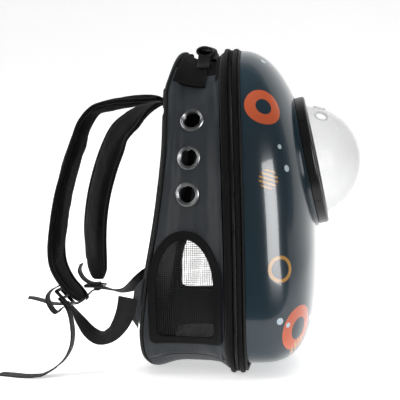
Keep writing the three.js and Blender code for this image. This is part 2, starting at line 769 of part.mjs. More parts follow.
function windowBinding(side) {
  const clear = 4 * FIT;
  const section = [
    [0, clear], [BINDING_WIDTH, clear],
    [BINDING_WIDTH, clear + BINDING_THICK], [0, clear + BINDING_THICK],
  ];
  const outlines = section.map(([inset]) => windowOutline(side, inset));
  return loft(outlines[0].map((_, i) => section.map(([, out], k) => {
    const [x, z] = outlines[k][i];
    return new THREE.Vector3(x, side * (sideY(x, z) + out), z);
  })), true);
}

// The net fills the cut in the cloth, in the cloth's own curve
function windowNet(side) {
  const inset = BINDING_WIDTH / 2 + 2 * FIT;
  const half = WINDOW_HALF - inset;
  const rise = WINDOW_TOP - WINDOW_SPRING - inset;
  const low = sillHeight(side) + inset;
  const deep = (CLOTH - NET_THICK) / 2;
  const rows = range(12, low, WINDOW_SPRING + rise * 0.995);
  return loft(rows.map((z) => {
    const arch = Math.sqrt(1 - (Math.max(z - WINDOW_SPRING, 0) / rise) ** 2);
    const corner = Math.max(low + WINDOW_CORNER - z, 0);
    const reach = half * arch - corner;
    const across = range(4, WINDOW_X - reach, WINDOW_X + reach);
    const face = (depth) => (x) => new THREE.Vector3(x, side * (sideY(x, z) - depth), z);
    return [...across.map(face(deep)), ...across.slice().reverse().map(face(deep + NET_THICK))];
  }));
}

// The padded back panel: the rear seam's outline, crowned towards the wearer
function backPanelPoint(turn, rho, rear) {
  const shape = bodyShape(1, BACK_PIPING + 3 * FIT);
  const [y, z] = outline(turn, shape).map((v, i) => (i ? WIDEST + rho * (v - WIDEST) : rho * v));
  const face = rear ? BACK_PAD + BACK_CROWN * (1 - rho ** 2) - 1.5 * rho ** 8 : FIT;
  return new THREE.Vector3(backX(z) - face, y, z);
}

function backPanel() {
  const rhos = [1, 0.94, 0.8, 0.5, 0];
  const inner = [1, 0.8, 0.5, 0];
  return loft(turns(28).map((turn) => [
    ...rhos.map((rho) => backPanelPoint(turn, rho, true)),
    ...inner.slice().reverse().map((rho) => backPanelPoint(turn, rho, false)),
  ]), true);
}

// The cord sewn round the back panel
function backPiping() {
  const half = BACK_PIPING / 2;
  return loft(turns(BAND_STEPS).map((turn) => turns(6).map((spin) => {
    const [y, z] = outline(turn, bodyShape(1, half - half * Math.cos(spin)));
    return new THREE.Vector3(backX(z) - half - 2 * FIT + half * Math.sin(spin), y, z);
  })), true);
}

// The rear face of the back panel at a place on it
function backFace(y, z) {
  const shape = bodyShape(1, BACK_PIPING + 3 * FIT);
  const upper = z >= WIDEST;
  const half = upper ? shape.top - WIDEST : WIDEST - shape.foot;
  const round = upper ? TOP_ROUND : shape.round;
  const rho = ((Math.abs(y) / shape.half) ** round + (Math.abs(z - WIDEST) / half) ** round)
    ** (1 / round);
  return backX(z) - BACK_PAD - BACK_CROWN * (1 - rho ** 2) + 1.5 * rho ** 8;
}

// The sewn root of both shoulder straps, on the back panel
function strapYoke() {
  return loft(range(13, -YOKE_HALF, YOKE_HALF).map((y) => {
    const heights = range(3, YOKE_LOW * HEIGHT, YOKE_HIGH * HEIGHT);
    const face = (out) => (z) => new THREE.Vector3(backFace(y, z) - out, y, z);
    return [
      ...heights.map(face(3 * FIT)),
      ...heights.slice().reverse().map(face(3 * FIT + YOKE_THICK)),
    ];
  }));
}

// Straps

function routePoint(row) {
  return new THREE.Vector3(-row.back * STRAP_REACH, row.side * WIDTH / 2, row.up * HEIGHT);
}

// The place of a row, where a row with a drop is measured from the ladder lock's middle
function rowPoint(row, lock) {
  if (row.drop === undefined) return routePoint(row);
  return routePoint(lock).add(new THREE.Vector3(row.forward, 0, -row.drop));
}

// A strap along a route, with a section given as shares of its width and thickness
function strap(rows, width, thick, section, steps, lock) {
  const curve = new THREE.CatmullRomCurve3(rows.map((row) => rowPoint(row, lock)), false,
    'centripetal');
  const across = new THREE.Vector3(0, 1, 0);
  return loft(range(steps, 0, 1).map((share) => {
    const centre = curve.getPointAt(share);
    const tangent = curve.getTangentAt(share);
    const at = curve.getUtoTmapping(share) * (rows.length - 1);
    const low = Math.min(Math.floor(at), rows.length - 2);
    const turn = mix(rows[low].turn ?? 0, rows[low + 1].turn ?? 0, at - low);
    const wide = across.clone().addScaledVector(tangent, -across.dot(tangent)).normalize();
    wide.applyAxisAngle(tangent, rad(turn));
    const deep = new THREE.Vector3().crossVectors(tangent, wide);
    return section.map(([w, t]) => {
      const point = centre.clone().addScaledVector(wide, w * width);
      point.addScaledVector(deep, t * thick);
      return point;
    });
  }));
}

const PAD_SECTION = [
  [-0.5, -0.2], [-0.43, -0.5], [0.43, -0.5], [0.5, -0.2],
  [0.5, 0.2], [0.43, 0.5], [-0.43, 0.5], [-0.5, 0.2],
];
const FLAT_SECTION = [[-0.5, -0.5], [0.5, -0.5], [0.5, 0.5], [-0.5, 0.5]];

function shoulderPad(rows) {
  return strap(rows, PAD_WIDTH, PAD_THICK, PAD_SECTION, 19);
}

// Webbing that reaches the floor lies on it
function webbing(rows, steps, lock) {
  const geometry = strap(rows, WEBBING_WIDTH, WEBBING_THICK, FLAT_SECTION, steps, lock);
  const at = geometry.getAttribute('position');
  const lift = WEBBING_THICK / 2;
  for (let i = 0; i < at.count; i += 1) {
    if (at.getZ(i) < WEBBING_THICK) at.setZ(i, Math.max(at.getZ(i) + lift, 0));
  }
  return geometry;
}

// A plastic ladder lock: a frame with two slots
function adjuster(place) {
  const [length, width] = [ADJUSTER_LENGTH / 2, ADJUSTER_WIDTH / 2];
  const corner = ADJUSTER_CORNER;
  const plan = (points) => points.map(([x, y]) => new THREE.Vector2(x, y));
  const shape = new THREE.Shape(plan([
    [-length, corner - width], [corner - length, -width],
    [length - corner, -width], [length, corner - width],
    [length, width - corner], [length - corner, width],
    [corner - length, width], [-length, width - corner],
  ]));
  const plate = new THREE.ExtrudeGeometry(shape, { depth: ADJUSTER_THICK, bevelEnabled: false });
  plate.translate(0, 0, -ADJUSTER_THICK / 2);
  const slot = length - 1.5 * ADJUSTER_BAR;
  const opening = new THREE.BoxGeometry(slot, 2 * (width - ADJUSTER_BAR), 2 * ADJUSTER_THICK);
  const reach = (slot + ADJUSTER_BAR) / 2;
  const geometry = fromSolid([-reach, reach].reduce(
    (body, x) => body.subtract(solid(opening.clone().translate(x, 0, 0))),
    solid(plate),
  ));
  geometry.rotateY(rad(place.pitch));
  const centre = routePoint(place);
  return geometry.translate(centre.x, centre.y, centre.z);
}

// The sewn tab beside the foot of the back panel, a doubled flat of cloth behind the piping
function tab(side) {
  const root = (z) => backX(z) - BACK_PIPING - 4 * FIT;
  const outer = TAB_SHAPE.map(({ reach, up }) => {
    const z = up * TAB_HIGH;
    return new THREE.Vector2(root(z) - reach * TAB_REACH, z);
  });
  const middle = (TAB_SHAPE[0].up + TAB_SHAPE[TAB_SHAPE.length - 1].up) / 2 * TAB_HIGH;
  outer.push(new THREE.Vector2(root(middle), middle));
  const plate = new THREE.ExtrudeGeometry(new THREE.Shape(outer), {
    depth: TAB_THICK, bevelEnabled: false,
  });
  plate.rotateX(Math.PI / 2);
  plate.translate(0, side * TAB_SIDE + (1 + side) / 2 * TAB_THICK, 0);
  return tidy(plate);
}

// The height of the top cloth along the handle's line
function deckHeight(y) {
  const along = (bodyFrontX(HEIGHT) - HANDLE_X) / (bodyFrontX(HEIGHT) - backX(HEIGHT));
  const shape = bodyShape(along, 0);
  const share = (1 - (Math.abs(y) / shape.half) ** TOP_ROUND) ** (1 / TOP_ROUND);
  return WIDEST + (shape.top - WIDEST) * share;
}

// One end of the handle's strap, from inside the grip down to the patch that it is sewn to
function handleEnd(side) {
  const seat = PATCH_THICK + 8 * FIT;
  const grip = deckHeight(0) + HANDLE_CLEAR;
  const end = HANDLE_SPAN / 2;
  const [foot, tip] = [end + HANDLE_DROP, end + HANDLE_DROP + HANDLE_SEWN];
  const stations = [
    [end - HANDLE_LAP, grip], [end, grip],
    [foot, deckHeight(foot) + seat], [tip, deckHeight(tip) + seat],
  ];
  return loft(stations.map(([y, z]) => FLAT_SECTION.map(([w, t]) => new THREE.Vector3(
    HANDLE_X + w * HANDLE_STRAP, side * y, z + (t + 0.5) * HANDLE_WALL,
  ))));
}

// The carry handle: a straight open roll of webbing on a strap sewn to both patches
function carryHandle() {
  const arc = range(10, rad(-70), rad(230));
  const tall = HANDLE_HEIGHT / 2;
  const centre = deckHeight(0) + HANDLE_CLEAR + tall;
  const grip = loft([-HANDLE_SPAN / 2, HANDLE_SPAN / 2].map((y) => {
    const ringPoint = (inset) => (turn) => new THREE.Vector3(
      HANDLE_X + (HANDLE_WIDTH / 2 - inset) * Math.cos(turn),
      y,
      centre + (tall - inset) * Math.sin(turn),
    );
    return [...arc.map(ringPoint(0)), ...arc.slice().reverse().map(ringPoint(HANDLE_WALL))];
  }));
  return fromSolid([-1, 1].reduce(
    (body, side) => body.add(solid(handleEnd(side))),
    solid(grip),
  ));
}

// The fleece mat on the cabin floor, over the band's inner edge and into the shell
function floorMat() {
  const low = FLAP_DEPTH + 2 * FIT;
  const high = low + MAT_THICK;
  const stations = range(7, MAT_MARGIN - BODY_DEPTH, RIM_X + MAT_REACH);
  const inside = bodyShape(0.5, CLOTH);
  const shares = [-1, -0.85, -0.6, -0.4, 0.4, 0.6, 0.85, 1];
  return loft(stations.map((x) => {
    const front = Math.max(x - RIM_X, 0) / MAT_REACH;
    const half = MAT_WIDTH / 2 - MAT_MARGIN * front ** 2;
    const under = (y) => WIDEST - (WIDEST - inside.foot)
      * (1 - (Math.abs(y) / inside.half) ** inside.round) ** (1 / inside.round);
    return [
      ...shares.map((share) => [
        share * half, Math.max(low + MAT_SLOPE * front, under(share * half) + MAT_CLEAR),
      ]),
      [half * 0.97, high], [-half * 0.97, high],
    ].map(([y, z]) => new THREE.Vector3(x, y, Math.min(z, high)));
  }));
}

const group = new THREE.Group();
const bubble = new THREE.Group();
group.add(bubble);

function add(name, geometry, finish, parent = group) {
  geometry.translate(-ORIGIN_X, 0, 0);
  const mesh = new THREE.Mesh(geometry, finish);
  mesh.name = name;
  parent.add(mesh);
}

add('shell', shell(), SHELL_PLASTIC);
add('dome', dome(), CLEAR, bubble);
add('bubble_ring', bubbleRing(), BLACK_PLASTIC, bubble);

add('front_piping', bandLoop(beadSection(FRONT_PIPING_X, FRONT_PIPING_INSET, FRONT_PIPING)), PIPING);
add('zip_flap_front', bandLoop(flapSection(FLAP_FRONT_X)), WEBBING);
add('zip_coil', bandLoop(coilSection()), ZIP);
add('zip_flap_rear', bandLoop(flapSection(FLAP_REAR_X)), WEBBING);
add('rear_piping', bandLoop(beadSection(REAR_PIPING_X, REAR_PIPING_INSET, REAR_PIPING)), PIPING);
add('zip_slider_1', zipSlider(18), ZIP);
add('zip_slider_2', zipSlider(34), ZIP);

add('top_panel', bodyPanel(SEAM_TOP + SEAM_GAP, 180 - SEAM_TOP - SEAM_GAP, 9, 0, CLOTH), NYLON);
add('bottom_panel',
  bodyPanel(180 + SEAM_FOOT + SEAM_GAP, 360 - SEAM_FOOT - SEAM_GAP, 9, 0, CLOTH), NAVY_NYLON);
add('back_panel', backPanel(), NYLON);
add('back_piping', backPiping(), PIPING);

[['left', -1], ['right', 1]].forEach(([word, side]) => {
  const left = side < 0;
  add(`side_panel_${word}`, sidePanel(side), NAVY_NYLON);
  EYELETS.forEach((row, i) => add(`eyelet_${word}_${i + 1}`, eyelet(row, side), CHROME));
  add(`window_binding_${word}`, windowBinding(side), WEBBING);
  add(`window_mesh_${word}`, windowNet(side), NET);
  const [from, to] = left ? [180 - PATCH_TO, 180 - PATCH_FROM] : [PATCH_FROM, PATCH_TO];
  add(`handle_patch_${word}`,
    bodyPanel(from, to, 6, -3 * FIT - PATCH_THICK, -3 * FIT, PATCH_STATIONS), WEBBING);
  add(`shoulder_pad_${word}`, shoulderPad(left ? PAD_LEFT : PAD_RIGHT), NYLON);
  add(`buckle_loop_${word}`, webbing(left ? LOOP_LEFT : LOOP_RIGHT, 12), WEBBING);
  const lock = left ? ADJUSTER_LEFT : ADJUSTER_RIGHT;
  add(`adjuster_${word}`, adjuster(lock), BLACK_PLASTIC);
  add(`lower_webbing_${word}`, webbing(left ? LOWER_LEFT : LOWER_RIGHT, 34, lock), WEBBING);
  add(`webbing_tail_${word}`, webbing(left ? TAIL_LEFT : TAIL_RIGHT, 22), WEBBING);
  add(`tab_${word}`, tab(side), NAVY_NYLON);
});

add('carry_handle', carryHandle(), WEBBING);
add('strap_yoke', strapYoke(), WEBBING);
add('floor_mat', floorMat(), FLEECE);

export default group;
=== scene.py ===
# The look of a bubble pet carrier backpack: smooth shapes, cloth, webbing, net and print over the
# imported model, with a pale floor, soft lights and the photograph's camera.
import math
import bmesh
import bpy
import numpy as np
from mathutils import Matrix, Vector, noise


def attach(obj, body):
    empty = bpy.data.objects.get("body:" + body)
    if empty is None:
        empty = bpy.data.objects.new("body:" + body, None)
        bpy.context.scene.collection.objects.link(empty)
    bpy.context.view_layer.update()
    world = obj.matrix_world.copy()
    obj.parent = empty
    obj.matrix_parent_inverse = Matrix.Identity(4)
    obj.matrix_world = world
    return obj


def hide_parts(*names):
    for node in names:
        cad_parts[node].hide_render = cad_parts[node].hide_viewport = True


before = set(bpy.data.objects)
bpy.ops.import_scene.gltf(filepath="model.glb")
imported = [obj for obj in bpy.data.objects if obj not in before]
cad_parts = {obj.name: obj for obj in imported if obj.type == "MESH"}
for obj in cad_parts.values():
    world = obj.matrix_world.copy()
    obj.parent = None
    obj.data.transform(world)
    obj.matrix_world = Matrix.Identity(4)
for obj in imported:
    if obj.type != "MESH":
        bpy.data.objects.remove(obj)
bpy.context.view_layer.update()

# Sizes in millimetres, as the solids have them
HEIGHT, WIDTH, BODY_DEPTH, SHELL_DEPTH, STRAP_REACH, FIT = 419, 320, 115.5, 86.5, 232, 0.3
WIDEST, TOP_ROUND, FOOT_ROUND, FOOT_FLAT = 0.465 * 419, 2.3, 4.6, 3
BAND_SHIFT, BAND_SWEEP, BAND_CURVE = 3, 15, 2.5
COIL_WIDTH, FLAP_WIDTH, FLAP_DEPTH, COIL_RECESS, COIL_THICK = 5.4, 5.7, 13, 2, 4
REAR_PIPING, REAR_INSET, FRONT_PIPING, FRONT_INSET = 5, 8, 4, 4.5
SHELL_WALL, SHELL_INSET, SHELL_FOOT, CROWN, CORNER = 2.5, 3, 10, 185, 3
TOP_BEND, SIDE_BEND, FOOT_BEND = 2.2, 2.5, 3.6
BUBBLE = (93.5, 0, 271.3)
TILT, RING_R, RING_THICK, DOME_R, DOME_SINK, DOME_WALL = 11.7, 85, 13, 74, 9, 2
APERTURE, LAND_WIDTH, LAND_DEPTH, SLEEVE_WALL = 80.3, 7.7, 10, 3.7
LUG_ANGLE, LUG_REACH, LUG_THICK, LUG_TURN = 16, 4.5, 3, 24
VENT_R, VENT_POLAR, VENT_SPREAD = 7.8, 63.5, 34
CLOTH, BACK_WIDTH, BACK_PAD, BACK_CROWN, BACK_PIPING = 2.2, 284, 7, 6, 5
SEAM_TOP, SEAM_FOOT, SADDLE, BELLY_LIFT = 62, 60, 17, 7
EYELET_R, EYELET_BORE, EYELET_SINK = 15.5, 10.5, 0.9
WINDOW_X, WINDOW_HALF, WINDOW_TOP, WINDOW_SPRING, WINDOW_CORNER = -61, 47, 185.5, 116, 8
SILL = {-1: 40, 1: 75}
BINDING, BINDING_THICK = 11, 1.6
HANDLE_X, HANDLE_WIDTH, HANDLE_HEIGHT, HANDLE_WALL, HANDLE_SPAN = -45.5, 28, 15, 2.2, 96
GRIP_WIDTH, GRIP_HEIGHT, GRIP_SQUEEZE, GRIP_ARCH = 22, 14, 0.45, 4.6
HANDLE_CLEAR, HANDLE_STRAP, HANDLE_LAP, HANDLE_DROP, HANDLE_SEWN = 3.6, 16, 8, 12, 10
PAD_WIDTH, PAD_THICK, WEB_WIDTH, WEB_THICK = 60, 11, 25, 1.6
TAB_REACH, TAB_HIGH, TAB_SIDE, TAB_THICK = 14, 126, 132.6, 3

BACK_LINE = [(0, .90), (.05, .985), (.11, 1), (.15, .99), (.308, .91), (.44, .825), (.566, .765),
             (.687, .732), (.802, .736), (.866, .74), (.907, .71), (.976, .65), (1, .6)]
SECTIONS = {
    "inset": [(0, .28), (.1, .36), (.35, .5), (.7, .78), (1, 1)],
    "saddle": [(0, .53), (.1, .95), (.35, 1), (.7, .75), (1, .24)],
    "lift": [(0, .6), (.1, 1), (.35, 1), (.7, .9), (1, 0)],
    "round": [(0, 4.4), (.1, 3.6), (.35, 3), (.7, 3.1), (1, 3.4)],
}
EYELETS = [(.465, .771), (.485, .659), (.497, .551)]

# Strap routes: back, side, up as shares, and the twist in degrees
PAD_ROUTE = {-1: [
    (.431, -.28, .838, 0), (.509, -.28, .835, 0), (.612, -.31, .831, 0), (.72, -.36, .821, 2),
    (.8, -.4, .802, 4), (.858, -.44, .761, 5), (.897, -.48, .697, 5), (.935, -.51, .625, 5),
    (.97, -.55, .544, 6), (.991, -.59, .453, 7), (1, -.61, .377, 7), (.985, -.63, .327, 7),
    (.94, -.65, .282, 5), (.871, -.66, .241, 4), (.828, -.67, .22, 4)], 1: [
    (.432, .28, .837, 0), (.5, .28, .833, -4), (.57, .29, .817, -15), (.651, .32, .783, -28),
    (.746, .37, .737, -36), (.797, .41, .687, -40), (.853, .46, .611, -40), (.903, .51, .511, -40),
    (.927, .55, .408, -40), (.922, .575, .313, -36), (.916, .59, .265, -32), (.909, .59, .232, -30)]}
LOOP_ROUTE = {-1: [
    (.9631, -.675, .2709, 0), (.988, -.675, .262, 0), (1.02, -.675, .252, 0), (1.041, -.675, .232, 0),
    (1.025, -.675, .202, 0), (.99, -.675, .183, 0), (.9605, -.675, .1975, 0)], 1: [
    (.905, .59, .2235, 0), (.957, .59, .2235, 0), (1.004, .59, .238, 0), (1.03, .59, .265, 0),
    (1.018, .59, .288, 0)]}
LOWER_ROUTE = {-1: [
    (.9371, -.675, .2155, 0), (.8931, -.675, .19, 0), (.862, -.681, .165, 15), (.803, -.7, .127, 30),
    (.745, -.74, .113, 34), (.68, -.79, .124, 44), (.625, -.835, .155, 62), (.588, -.855, .195, 80),
    (.572, -.855, .24, 90)], 1: [
    (.931, .59, .207, 0), (.875, .59, .2059, 0), (.821, .64, .199, -6), (.781, .69, .198, -18),
    (.735, .75, .206, -36), (.68, .81, .222, -60), (.625, .852, .24, -82), (.572, .855, .255, -90)]}
TAIL_ROUTE = {-1: [
    (.974, -.675, .2295, 0), (.943, -.675, .211, 0), (.92, -.675, .186, 0), (.907, -.677, .153, 0),
    (.9, -.688, .115, 0), (.907, -.713, .08, 0), (.932, -.75, .05, 0), (.972, -.812, .027, 0),
    (1.016, -.875, .012, 0), (1.063, -.919, .003, 0), (1.14, -.906, 0, 0), (1.211, -.863, 0, 0),
    (1.29, -.825, 0, 0)], 1: [
    (.9, .59, .2015, 0), (.94, .59, .2, 0), (.976, .59, .183, 0), (1.023, .59, .157, 0),
    (1.101, .58, .151, 0), (1.196, .562, .152, 0), (1.253, .537, .163, 0), (1.311, .519, .172, 0),
    (1.34, .512, .174, 0)]}
LOCKS = {-1: (.944, -.675, .2315, 46.7), 1: (.931, .59, .215, 0)}
SIDE_WORD = {-1: "left", 1: "right"}


# Shapes

def smooth(rows, value):
    keys = np.array([r[0] for r in rows], float)
    vals = np.array([r[1] for r in rows], float)
    at = np.clip(np.asarray(value, float), keys[0], keys[-1])
    i = np.clip(np.searchsorted(keys, at, side="left") - 1, 0, len(rows) - 2)
    n = len(rows) - 1
    a, b = np.clip(np.arange(n + 1) - 1, 0, n), np.clip(np.arange(n + 1) + 1, 0, n)
    slope = (vals[b] - vals[a]) / (keys[b] - keys[a])
    span = keys[i + 1] - keys[i]
    u = (at - keys[i]) / span
    return ((2 * u ** 3 - 3 * u ** 2 + 1) * vals[i] + (u ** 3 - 2 * u ** 2 + u) * span * slope[i]
            + (3 * u ** 2 - 2 * u ** 3) * vals[i + 1] + (u ** 3 - u ** 2) * span * slope[i + 1])


def outline(turn, half, top, foot, floor, rnd):
    c, s = np.cos(turn), np.sin(turn)
    up = s >= 0
    p = np.where(up, TOP_ROUND, rnd)
    rise = np.where(up, top - WIDEST, WIDEST - foot)
    y = half * np.sign(c) * np.abs(c) ** (2 / p)
    z = WIDEST + rise * np.sign(s) * np.abs(s) ** (2 / p)
    return y, np.maximum(z, floor)


def band_outline(turn, inset):
    return outline(turn, WIDTH / 2 - inset, HEIGHT - inset, inset - FOOT_FLAT, inset, FOOT_ROUND)


def band_x(z):
    return BAND_SHIFT - BAND_SWEEP * np.maximum(z / HEIGHT, 0) ** BAND_CURVE


FLAP_REAR = -COIL_WIDTH / 2 - FIT - FLAP_WIDTH
REAR_X = FLAP_REAR - FIT - REAR_PIPING / 2
BODY_FRONT = REAR_X - REAR_PIPING / 2 - FIT
FLAP_FRONT = COIL_WIDTH / 2 + FIT
FRONT_X = FLAP_FRONT + FLAP_WIDTH + FIT + FRONT_PIPING / 2
RIM_X = FRONT_X + FRONT_PIPING / 2 + FIT
ORIGIN_X = BAND_SHIFT + FLAP_REAR + FLAP_WIDTH / 2


def back_x(z):
    return -BODY_DEPTH * smooth(BACK_LINE, z / HEIGHT)


def body_shape(along, inset):
    taper = (WIDTH - BACK_WIDTH) / 2
    return (WIDTH / 2 - taper * smooth(SECTIONS["inset"], along) - inset,
            HEIGHT - SADDLE * smooth(SECTIONS["saddle"], along) - inset,
            BELLY_LIFT * smooth(SECTIONS["lift"], along) + inset, inset + 0 * along,
            smooth(SECTIONS["round"], along))


def body_point(turn, along, inset):
    turn, along = np.broadcast_arrays(np.asarray(turn, float), np.asarray(along, float))
    y, z = outline(turn, *body_shape(along, inset))
    x = (1 - along) * (band_x(z) + BODY_FRONT) + along * back_x(z)
    return np.stack([x, y, z], -1)


def side_y(x, z):
    x, z = np.broadcast_arrays(np.asarray(x, float), np.asarray(z, float))
    front = band_x(z) + BODY_FRONT
    along = (front - x) / (front - back_x(z))
    half, top, foot, _, rnd = body_shape(along, 0)
    up = z >= WIDEST
    p = np.where(up, TOP_ROUND, rnd)
    rise = np.where(up, top - WIDEST, WIDEST - foot)
    return half * np.maximum(1 - (np.abs(z - WIDEST) / rise) ** p, 0) ** (1 / p)


def shell_point(hoop, climb, wall):
    hoop, climb = np.broadcast_arrays(hoop, climb)
    c, s = np.cos(hoop), np.sin(hoop)
    up = s >= 0
    bend = SIDE_BEND + (np.where(up, TOP_BEND, FOOT_BEND) - SIDE_BEND) * np.abs(s)
    rho = np.maximum(np.cos(climb), 0) ** (2 / bend)
    p = np.where(up, TOP_ROUND, CORNER + (FOOT_ROUND - CORNER) * rho ** 4)
    half = WIDTH / 2 - SHELL_INSET - wall
    rise = np.where(up, HEIGHT - SHELL_INSET - wall - CROWN, CROWN - SHELL_FOOT - wall)
    y = rho * half * np.sign(c) * np.abs(c) ** (2 / p)
    z = CROWN + rho * rise * np.sign(s) * np.abs(s) ** (2 / p)
    x = band_x(z) + RIM_X + (SHELL_DEPTH - wall) * np.sin(climb) ** (2 / bend)
    return np.stack([x, y, z], -1)


def back_point(turn, rho, rear):
    turn, rho = np.broadcast_arrays(turn, rho)
    y, z = outline(turn, *body_shape(np.ones_like(turn), BACK_PIPING + 3 * FIT))
    y, z = rho * y, WIDEST + rho * (z - WIDEST)
    deep = BACK_PAD + BACK_CROWN * (1 - rho ** 2) - 1.5 * rho ** 8 if rear else FIT + 0 * rho
    return np.stack([back_x(z) - deep, y, z], -1)


def back_face(y, z):
    half, top, foot, _, rnd = body_shape(np.ones_like(np.asarray(z, float)), BACK_PIPING + 3 * FIT)
    up = z >= WIDEST
    p = np.where(up, TOP_ROUND, rnd)
    rise = np.where(up, top - WIDEST, WIDEST - foot)
    rho = ((np.abs(y) / half) ** p + (np.abs(z - WIDEST) / rise) ** p) ** (1 / p)
    return back_x(z) - BACK_PAD - BACK_CROWN * (1 - rho ** 2) + 1.5 * rho ** 8


# Meshes: points come in millimetres and go into the shared frame in metres

def to_frame(points):
    return (np.asarray(points, float).reshape(-1, 3) + [-ORIGIN_X, 0, 0]) / 1000


def make(name, points, faces, material, node=None, slot=None, sharp=40, body="carrier", keep=False):
    mesh = bpy.data.meshes.new(name)
    mesh.from_pydata(to_frame(points).tolist(), [], [list(map(int, f)) for f in faces])
    bm = bmesh.new()
    bm.from_mesh(mesh)
    bmesh.ops.remove_doubles(bm, verts=bm.verts, dist=2e-6)
    bmesh.ops.dissolve_degenerate(bm, edges=bm.edges, dist=1e-7)
    bmesh.ops.recalc_face_normals(bm, faces=bm.faces)
    bm.to_mesh(mesh)
    bm.free()
    return finish_piece(name, mesh, material, node, slot, sharp, body)


def finish_piece(name, mesh, material, node, slot, sharp=40, body="carrier"):
    mesh.polygons.foreach_set("use_smooth", [True] * len(mesh.polygons))
    mesh.set_sharp_from_angle(angle=math.radians(sharp))
    piece = bpy.data.objects.new(name, mesh)
    bpy.context.scene.collection.objects.link(piece)
    for m in material if isinstance(material, list) else [material]:
        mesh.materials.append(m)
    rides.append((piece, body, node, slot))
    return piece


rides = []


def grid_faces(rows, cols, base=0, wrap_rows=False, wrap_cols=False):
    r = np.arange(rows if wrap_rows else rows - 1)
    c = np.arange(cols if wrap_cols else cols - 1)
    i, j = np.meshgrid(r, c, indexing="ij")
    i2, j2 = (i + 1) % rows, (j + 1) % cols
    f = np.stack([i * cols + j, i2 * cols + j, i2 * cols + j2, i * cols + j2], -1) + base
    return f.reshape(-1, 4)


def loft(rings, closed=False, cap=True):
    """Points and faces of a tube through rings (rows, points, 3)."""
    rows, cols, _ = rings.shape
    faces = grid_faces(rows, cols, 0, closed, True).tolist()
    if not closed and cap:
        faces += [list(range(cols)), [(rows - 1) * cols + k for k in reversed(range(cols))]]
    return rings.reshape(-1, 3), faces


def slab(outer, inner):
    """A closed sheet between two grids of the same size."""
    rows, cols, _ = outer.shape
    n = rows * cols
    faces = grid_faces(rows, cols).tolist() + (grid_faces(rows, cols) + n)[:, ::-1].tolist()
    rim = ([(0, j) for j in range(cols)] + [(i, cols - 1) for i in range(1, rows)]
           + [(rows - 1, j) for j in reversed(range(cols - 1))]
           + [(i, 0) for i in reversed(range(1, rows - 1))])
    ids = [i * cols + j for i, j in rim]
    faces += [[a, b, b + n, a + n] for a, b in zip(ids, ids[1:] + ids[:1])]
    return np.concatenate([outer.reshape(-1, 3), inner.reshape(-1, 3)]), faces


def grid_normals(p):
    du, dv = np.gradient(p, axis=0), np.gradient(p, axis=1)
    n = np.cross(du, dv)
    return n / np.maximum(np.linalg.norm(n, axis=-1, keepdims=True), 1e-9)


def fbm(p, scale, seed=0.0, octaves=3):
    flat = np.asarray(p, float).reshape(-1, 3) / scale
    out = [noise.fractal(Vector((x + seed, y + seed, z)), 1.0, 2.0, octaves) for x, y, z in flat]
    return np.array(out).reshape(p.shape[:-1])


def bump_at(u, centre, width):
    return np.exp(-((u - centre) / width) ** 2)


def frames_along(path, turns, start=(0, 1, 0)):
    """Wide and deep directions along a route, the wide one turned about the route."""
    t = np.gradient(path, axis=0)
    t /= np.linalg.norm(t, axis=1, keepdims=True)
    wide = np.array(start, float) - (t @ np.array(start, float))[:, None] * t
    wide /= np.linalg.norm(wide, axis=1, keepdims=True)
    deep = np.cross(t, wide)
    a = np.radians(turns)[:, None]
    turned = wide * np.cos(a) + deep * np.sin(a)
    return t, turned, np.cross(t, turned)


def route(rows, count):
    """Evenly spaced points on a smooth curve through a route's rows, with their twists."""
    pts = np.array([[-r[0] * STRAP_REACH, r[1] * WIDTH / 2, r[2] * HEIGHT] for r in rows])
    n = len(pts)
    ext = np.vstack([2 * pts[0] - pts[1], pts, 2 * pts[-1] - pts[-2]])
    fine, spin = [], []
    for i in range(n - 1):
        p0, p1, p2, p3 = ext[i:i + 4]
        d = [max(np.linalg.norm(b - a) ** 0.5, 1e-4) for a, b in ((p0, p1), (p1, p2), (p2, p3))]
        t1 = (p1 - p0) / d[0] - (p2 - p0) / (d[0] + d[1]) + (p2 - p1) / d[1]
        t2 = (p2 - p1) / d[1] - (p3 - p1) / (d[1] + d[2]) + (p3 - p2) / d[2]
        t1, t2 = t1 * d[1], t2 * d[1]
        u = np.linspace(0, 1, 60, endpoint=i == n - 2)[:, None]
        fine.append((2 * u ** 3 - 3 * u ** 2 + 1) * p1 + (u ** 3 - 2 * u ** 2 + u) * t1
                    + (3 * u ** 2 - 2 * u ** 3) * p2 + (u ** 3 - u ** 2) * t2)
        spin.append(rows[i][3] + (rows[i + 1][3] - rows[i][3]) * u[:, 0])
    fine, spin = np.vstack(fine), np.concatenate(spin)
    length = np.concatenate([[0], np.cumsum(np.linalg.norm(np.diff(fine, axis=0), axis=1))])
    at = np.linspace(0, length[-1], count)
    path = np.stack([np.interp(at, length, fine[:, k]) for k in range(3)], 1)
    spin = np.interp(at, length, spin)
    kernel = np.ones(5) / 5
    spin = np.convolve(np.pad(spin, 2, mode="edge"), kernel, mode="valid")
    return path, spin, length[-1]


def cut(piece, cutters):
    """Takes closed cutter meshes out of a piece."""
    for points, faces in cutters:
        mesh = bpy.data.meshes.new("cutter")
        mesh.from_pydata(to_frame(points).tolist(), [], [list(map(int, f)) for f in faces])
        bm = bmesh.new()
        bm.from_mesh(mesh)
        bmesh.ops.recalc_face_normals(bm, faces=bm.faces)
        bm.to_mesh(mesh)
        bm.free()
        tool = bpy.data.objects.new("cutter", mesh)
        bpy.context.scene.collection.objects.link(tool)
        mod = piece.modifiers.new("cut", "BOOLEAN")
        mod.object, mod.operation, mod.solver = tool, "DIFFERENCE", "EXACT"
        bake(piece)
        bpy.data.objects.remove(tool)
        bpy.data.meshes.remove(mesh)


